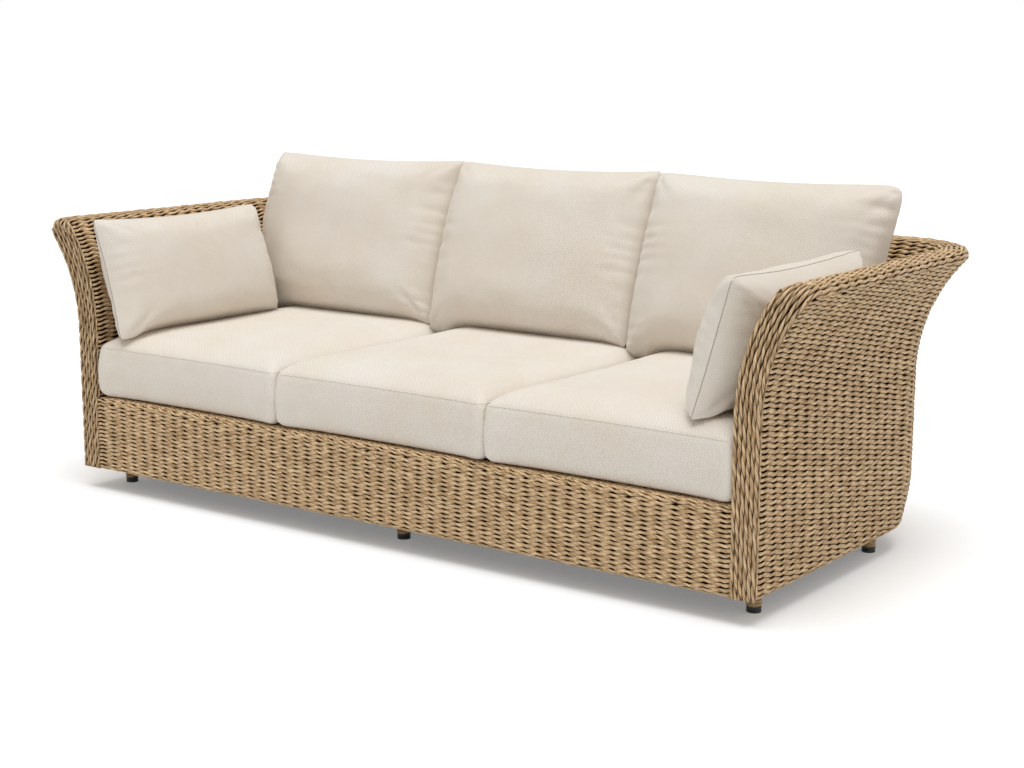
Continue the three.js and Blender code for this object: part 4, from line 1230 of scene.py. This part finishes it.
def knife_cushion(node, along, up, form, seed):
    """Two even sheets sewn at a knife edge, laid over a soft solid: full sides, puckered seams, folded corners.
    Returns the piece, the column and row of each point and the pairs of points round its seam."""
    solid = soft_copy(node, "pattern")
    axes = np.array([along, up, np.cross(along, up)], dtype=float)
    local = vertex_array(solid) @ axes.T
    low, high = local.min(axis=0), local.max(axis=0)
    half, middle = (high - low) / 2, (high + low) / 2
    columns, rows = (int(round(2 * h / KNIFE_SPACING)) for h in half[:2])
    piece, column, row, front = two_sheets(columns, rows)
    i, j = np.meshgrid(np.arange(columns + 1), np.arange(rows + 1), indexing="ij")
    u, v = (0.7 * g + 0.3 * (1.5 * g - 0.5 * g ** 3) for g in (2 * i / columns - 1, 2 * j / rows - 1))
    heights = solid_heights(solid, axes, u, v, half, middle, form["full"])
    bpy.data.objects.remove(solid)
    edge = (i == 0) | (i == columns) | (j == 0) | (j == rows)
    inside = np.clip(np.minimum(half[0] * (1 - np.abs(u)), half[1] * (1 - np.abs(v))) / 0.012, 0, 1)
    sheets = []
    for k, way in enumerate((1, -1)):
        sheet = np.where(edge, heights.mean(axis=2) + way * KNIFE_EDGE, heights[..., k])
        for _ in range(5):
            eased = (sheet[:-2, 1:-1] + sheet[2:, 1:-1] + sheet[1:-1, :-2] + sheet[1:-1, 2:]) / 4
            sheet[1:-1, 1:-1] = 0.4 * sheet[1:-1, 1:-1] + 0.6 * eased
        pulled = folds(u.ravel(), v.ravel(), half, seed + k, form["pucker"]).reshape(u.shape)
        sheets.append((sheet - way * inside * pulled)[column, row])
    left, right, lower = form["corners"]
    cut = np.where(v > 0, np.where(u > 0, right, left), lower) * (np.abs(u) * np.abs(v)) ** 10
    top_bow = np.where(v > 0, form["top_bow"], 0.0)
    side_bow = np.where(u > 0, *form["side_bow"][::-1])
    x = middle[0] + u * (half[0] + form["grow"] - side_bow * (1 - v * v)) - np.sign(u) * cut
    y = middle[1] + v * (half[1] + 0.004 - top_bow * (1 - u * u)) - np.sign(v) * cut
    set_vertices(piece, np.stack([x[column, row], y[column, row], np.where(front, *sheets)], axis=1) @ axes)
    facing_out(piece)
    order = [(c, 0) for c in range(columns)] + [(columns, r) for r in range(rows)]
    order += [(c, rows) for c in range(columns, 0, -1)] + [(0, r) for r in range(rows, 0, -1)]
    number = {}
    for n, spot in enumerate(zip(column, row)):
        number.setdefault(spot, []).append(n)
    return piece, column, row, [number[spot] for spot in order]


def settled(piece, column, row, most):
    """Lets a cushion's lower edge sink until it lies on the seat cushions under it."""
    points = vertex_array(piece)
    columns, rows = column.max(), row.max()
    gaps = np.full(columns + 1, np.nan)
    seats = [bpy.data.objects[name] for name in SEATS]
    for n in np.flatnonzero(row <= FOOT_ROWS):
        for seat in seats:
            hit, place, _, _ = seat.ray_cast(Vector(points[n]) + Vector((0, 0, 0.1)), Vector((0, 0, -1)))
            if hit:
                gaps[column[n]] = np.nanmin([gaps[column[n]], points[n][2] - place[2]])
    known = np.flatnonzero(~np.isnan(gaps))
    gaps = np.interp(np.arange(columns + 1), known, gaps[known])
    window = np.hanning(2 * FOOT_REACH + 3)[1:-1]
    even = np.convolve(np.pad(gaps, FOOT_REACH, mode="edge"), window / window.sum(), mode="valid")
    drop = np.clip(even - 0.0005, -0.004, most)
    share = np.clip(1 - row / (0.55 * rows), 0, 1)
    points[:, 2] -= drop[column] * share * share * (3 - 2 * share)
    set_vertices(piece, points)


def kept_off(piece):
    """Presses a cushion in where it would lie in the woven walls round it."""
    points = vertex_array(piece)
    middle = (points.min(axis=0) + points.max(axis=0)) / 2
    walls = [bpy.data.objects[name] for name in WALLS]
    for n, point in enumerate(points):
        start = Vector((middle[0], middle[1], point[2]))
        way = Vector(point) - start
        far = way.length
        way.normalize()
        for wall in walls:
            hit, place, _, _ = wall.ray_cast(start, way, distance=far + WALL_MARGIN)
            if hit:
                far = min(far, (place - start).length - WALL_MARGIN)
        points[n] = start + way * far
    set_vertices(piece, points)


def knife_piece(node, along, up, form, seed):
    """A finished knife-edged cushion with the cord of its seam."""
    settings = bpy.context.scene.sofa_cushions
    piece, column, row, border = knife_cushion(node, along, up, form, seed)
    inflated(piece, settings.swell, (0,) if along[0] else (1,))
    settled(piece, column, row, form["sink"])
    kept_off(piece)
    points = vertex_array(piece)
    loop = np.array([points[pair].mean(axis=0) for pair in border])
    subdivided(piece)
    finish_cushion(piece, node)
    seam_cord(node, loop, settings.seam_radius * form["cord"], form["finish"])


def full_corners(piece, middle, half):
    """Pushes a box cushion's upright corners out, as filling does."""
    points = vertex_array(piece)
    away = np.abs(points[:, :2] - middle)
    near = np.clip((away - (half - 0.055)) / 0.045, 0, 1)
    near = near * near * (3 - 2 * near)
    push = 0.0085 * near[:, 0] * near[:, 1]
    points[:, :2] += np.sign(points[:, :2] - middle) * push[:, None]
    set_vertices(piece, points)


def finish_cushion(piece, node):
    smooth(piece, 180)
    finish_piece(piece, f"{node}_cover", node, "fabric", [node])


# ---------------------------------------------------------------- operators

class SOFA_OT_frame_finishes(bpy.types.Operator):
    """Gives the tubes, decks and studs of the frame their finishes"""
    bl_idname = "sofa.frame_finishes"
    bl_label = "Frame finishes"

    def execute(self, context):
        finishes = materials()
        # The frame's woven parts get the painted shade of the weave's holes.
        by_slot = {"frame_tube": "tube", "seat_webbing": "strap", "stud_steel": "steel", "glide_plastic": "moulded",
                   "woven_strand": "core", "cushion_fabric": "fabric"}
        for part in frame["record"]["subparts"]:
            node = frame["nodes"].get(part["node"])
            if node is None:
                raise RuntimeError(f"the frame has no node {part['node']}")
            for place in node.material_slots:
                place.material = finishes[by_slot[part["material_slot"]]]
        return {"FINISHED"}


class SOFA_OT_shell(bpy.types.Operator):
    """Weaves the arms, the rounded rear corners and the back"""
    bl_idname = "sofa.shell"
    bl_label = "Woven shell"

    def execute(self, context):
        corner = LEAD_PITCHES + ARC_PITCHES
        for word, side, seed in (("left", -1, 20), ("right", 1, 40)):
            woven_shell(f"arm_strands_{word}", side, 0, ARM_PITCHES, seed, [f"arm_weave_{word}"])
            woven_shell(f"corner_strands_{word}", side, ARM_PITCHES, corner, seed + 1, [f"corner_weave_{word}"])
            woven_shell(f"back_strands_{word}", side, ARM_PITCHES + corner, HALF_BACK_PITCHES, seed + 2, ["back_weave"])
        return {"FINISHED"}


class SOFA_OT_apron(bpy.types.Operator):
    """Weaves the front panel with its rolled top edge"""
    bl_idname = "sofa.apron"
    bl_label = "Woven front panel"

    def execute(self, context):
        woven_apron()
        return {"FINISHED"}


class SOFA_OT_post_bands(bpy.types.Operator):
    """Lays the twisted ropes on the arms' fronts"""
    bl_idname = "sofa.post_bands"
    bl_label = "Arm bands"

    def execute(self, context):
        for word, side in (("left", -1), ("right", 1)):
            band_core(side, word)
            post_band(side, word)
        return {"FINISHED"}


class SOFA_OT_legs(bpy.types.Operator):
    """Winds the leg stubs and adds the moulded glides"""
    bl_idname = "sofa.legs"
    bl_label = "Legs and glides"

    def execute(self, context):
        for row in ("front", "rear"):
            for column in ("left", "middle", "right"):
                foot = f"{row}_{column}"
                leg, pad = wound_leg(*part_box(f"leg_{foot}")), glide_pad(*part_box(f"glide_pad_{foot}"))
                finish_piece(leg, f"wound_leg_{foot}", "frame", "straw", [f"leg_{foot}"])
                finish_piece(pad, f"glide_{foot}_foot", f"glide_{foot}", "moulded", [f"glide_pad_{foot}"])
        return {"FINISHED"}


# The seat covers: size of their even mesh, how far they stay over the deck, and their seam's height over it.
SEAT_VOXEL = 0.011
DECK_GAP = 0.0004
SEAT_SEAM = 0.149 - 0.012


class SOFA_OT_seat_cushions(bpy.types.Operator):
    """Fills the three seat cushions"""
    bl_idname = "sofa.seat_cushions"
    bl_label = "Seat cushions"

    def execute(self, context):
        settings = context.scene.sofa_cushions
        for word in ("left", "middle", "right"):
            node = f"seat_cushion_{word}"
            piece = soft_copy(node, "seat")
            modified(piece, "REMESH", mode="VOXEL", voxel_size=SEAT_VOXEL, use_smooth_shade=True)
            modified(piece, "SMOOTH", factor=0.5, iterations=4)
            apply_modifiers(piece)
            low, high = (np.array(corner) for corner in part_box(node))
            full_corners(piece, (low[:2] + high[:2]) / 2, (high[:2] - low[:2]) / 2)
            inflated(piece, settings.swell, (0, 1))
            points = vertex_array(piece)
            points[:, 2] = np.maximum(points[:, 2], low[2] + DECK_GAP)
            set_vertices(piece, points)
            subdivided(piece)
            loop = seam_loop(piece, (0, 0, low[2] + SEAT_SEAM), (0, 0, 1))
            finish_cushion(piece, node)
            seam_cord(node, loop, settings.seam_radius * 1.3, "fabric")
        return {"FINISHED"}


class SOFA_OT_back_cushions(bpy.types.Operator):
    """Fills the three leaning back cushions"""
    bl_idname = "sofa.back_cushions"
    bl_label = "Back cushions"

    def execute(self, context):
        up = (0, math.sin(BACK_LEAN), math.cos(BACK_LEAN))
        for word, seed, form in (("left", 60, BACK_FORM), ("middle", 63, BACK_FORM), ("right", 66, SLACK_BACK_FORM)):
            knife_piece(f"back_cushion_{word}", (1, 0, 0), up, form, seed)
        return {"FINISHED"}


class SOFA_OT_pillows(bpy.types.Operator):
    """Fills the two lumbar pillows"""
    bl_idname = "sofa.pillows"
    bl_label = "Pillows"

    def execute(self, context):
        for word, side in (("left", -1), ("right", 1)):
            up = (side * math.sin(PILLOW_LEAN), 0, math.cos(PILLOW_LEAN))
            knife_piece(f"pillow_{word}", (0, 1, 0), up, PILLOW_FORM, 80 + side)
        return {"FINISHED"}


# The lamps: place, which is also where the light comes from, and how wide the light spreads in degrees.
KEY_LAMP = ((0.25, -0.35, 3.0), 40)
FRONT_LAMP = ((1.6, -1.3, 2.4), 80)
LAMP_COLOUR = (0.96, 0.985, 1.0)
WORLD_COLOUR = (1.0, 0.945, 0.87)
FLOOR_GLOW = 0.20
# The camera: place, turns about the upright, its own level axis and its line of sight in degrees, and lens in mm.
CAMERA_PLACE = (2.7786, -3.7744, 1.2348)
CAMERA_TURNS = (((0, 0, 1), 35.92), ((1, 0, 0), 90 - 10.913), ((0, 0, 1), 0.163))
CAMERA_LENS, CAMERA_SENSOR = 63.49, 36.0


class SOFA_OT_studio(bpy.types.Operator):
    """Adds the floor, the light and the camera"""
    bl_idname = "sofa.studio"
    bl_label = "Studio"

    def execute(self, context):
        scene = context.scene
        settings = scene.sofa_studio
        clear_selection()
        bpy.ops.mesh.primitive_plane_add(size=60, location=(0, 0, 0))
        floor = context.object
        floor.name = floor.data.name = "studio_floor"
        material, tree, shader = new_material("studio_floor", roughness=0.9, specular=0.1)
        shader.inputs["Base Color"].default_value = rgba(settings.floor_colour)
        glow = add_node(tree, "ShaderNodeEmission", {"Color": (1, 1, 1, 1), "Strength": FLOOR_GLOW})
        both = add_node(tree, "ShaderNodeAddShader", {0: shader.outputs[0], 1: glow.outputs[0]})
        pick = add_node(tree, "ShaderNodeMixShader",
                        {0: seen_directly(tree), 1: shader.outputs[0], 2: both.outputs[0]})
        tree.links.new(pick.outputs[0], tree.nodes["Material Output"].inputs["Surface"])
        floor.data.materials.append(material)

        world = bpy.data.worlds.new("studio_world")
        scene.world = world
        world.use_nodes = True
        tree = world.node_tree
        background = tree.nodes["Background"].inputs
        seen = seen_directly(tree)
        tree.links.new(mixed(tree, seen, rgba(WORLD_COLOUR), (1, 1, 1, 1)), background["Color"])
        tree.links.new(ranged(tree, seen, 0.0, 1.0, settings.fill_strength, 1.0), background["Strength"])

        for name, strength, (place, spread) in (("key_light", settings.key_strength, KEY_LAMP),
                                                ("front_light", settings.front_strength, FRONT_LAMP)):
            clear_selection()
            bpy.ops.object.light_add(type="SUN", location=place)
            lamp = context.object
            lamp.name = name
            lamp.data.angle, lamp.data.energy, lamp.data.color = math.radians(spread), strength, LAMP_COLOUR
            lamp.rotation_euler = Vector(place).to_track_quat("Z", "Y").to_euler()

        bpy.ops.object.camera_add(location=CAMERA_PLACE)
        camera = context.object
        camera.name = "photo_camera"
        camera.rotation_mode = "XYZ"
        spin = Quaternion()
        for axis, angle in CAMERA_TURNS:
            spin = spin @ Quaternion(Vector(axis), math.radians(angle))
        camera.rotation_euler = spin.to_euler("XYZ")
        camera.data.lens, camera.data.sensor_width, camera.data.clip_end = CAMERA_LENS, CAMERA_SENSOR, 100
        scene.camera = camera
        scene.view_settings.view_transform = "Standard"
        return {"FINISHED"}


class SOFA_PT_panel(bpy.types.Panel):
    """Lists the sofa's sizes, colours and building steps"""
    bl_idname = "SOFA_PT_panel"
    bl_label = "Woven garden sofa"
    bl_space_type = "VIEW_3D"
    bl_region_type = "UI"
    bl_category = "Sofa"

    def draw(self, context):
        layout = self.layout
        for group in (context.scene.sofa_weave, context.scene.sofa_bands, context.scene.sofa_cushions,
                      context.scene.sofa_studio):
            box = layout.box()
            for name in group.__annotations__:
                box.prop(group, name)
        for step in STEPS:
            layout.operator(step.bl_idname)


STEPS = (SOFA_OT_studio, SOFA_OT_frame_finishes, SOFA_OT_shell, SOFA_OT_apron, SOFA_OT_post_bands, SOFA_OT_legs,
         SOFA_OT_seat_cushions, SOFA_OT_back_cushions, SOFA_OT_pillows)
SETTINGS = {"sofa_weave": WeaveSettings, "sofa_bands": BandSettings, "sofa_cushions": CushionSettings,
            "sofa_studio": StudioSettings}


def register():
    for cls in (*SETTINGS.values(), *STEPS, SOFA_PT_panel):
        bpy.utils.register_class(cls)
    for name, cls in SETTINGS.items():
        setattr(bpy.types.Scene, name, PointerProperty(type=cls))


def unregister():
    for name in SETTINGS:
        delattr(bpy.types.Scene, name)
    for cls in reversed((*SETTINGS.values(), *STEPS, SOFA_PT_panel)):
        bpy.utils.unregister_class(cls)


def main():
    register()
    bpy.ops.sofa.studio()
    bpy.ops.sofa.frame_finishes()
    bpy.ops.sofa.shell()
    bpy.ops.sofa.apron()
    bpy.ops.sofa.post_bands()
    bpy.ops.sofa.legs()
    bpy.ops.sofa.seat_cushions()
    bpy.ops.sofa.back_cushions()
    bpy.ops.sofa.pillows()


if __name__ == "__main__":
    main()
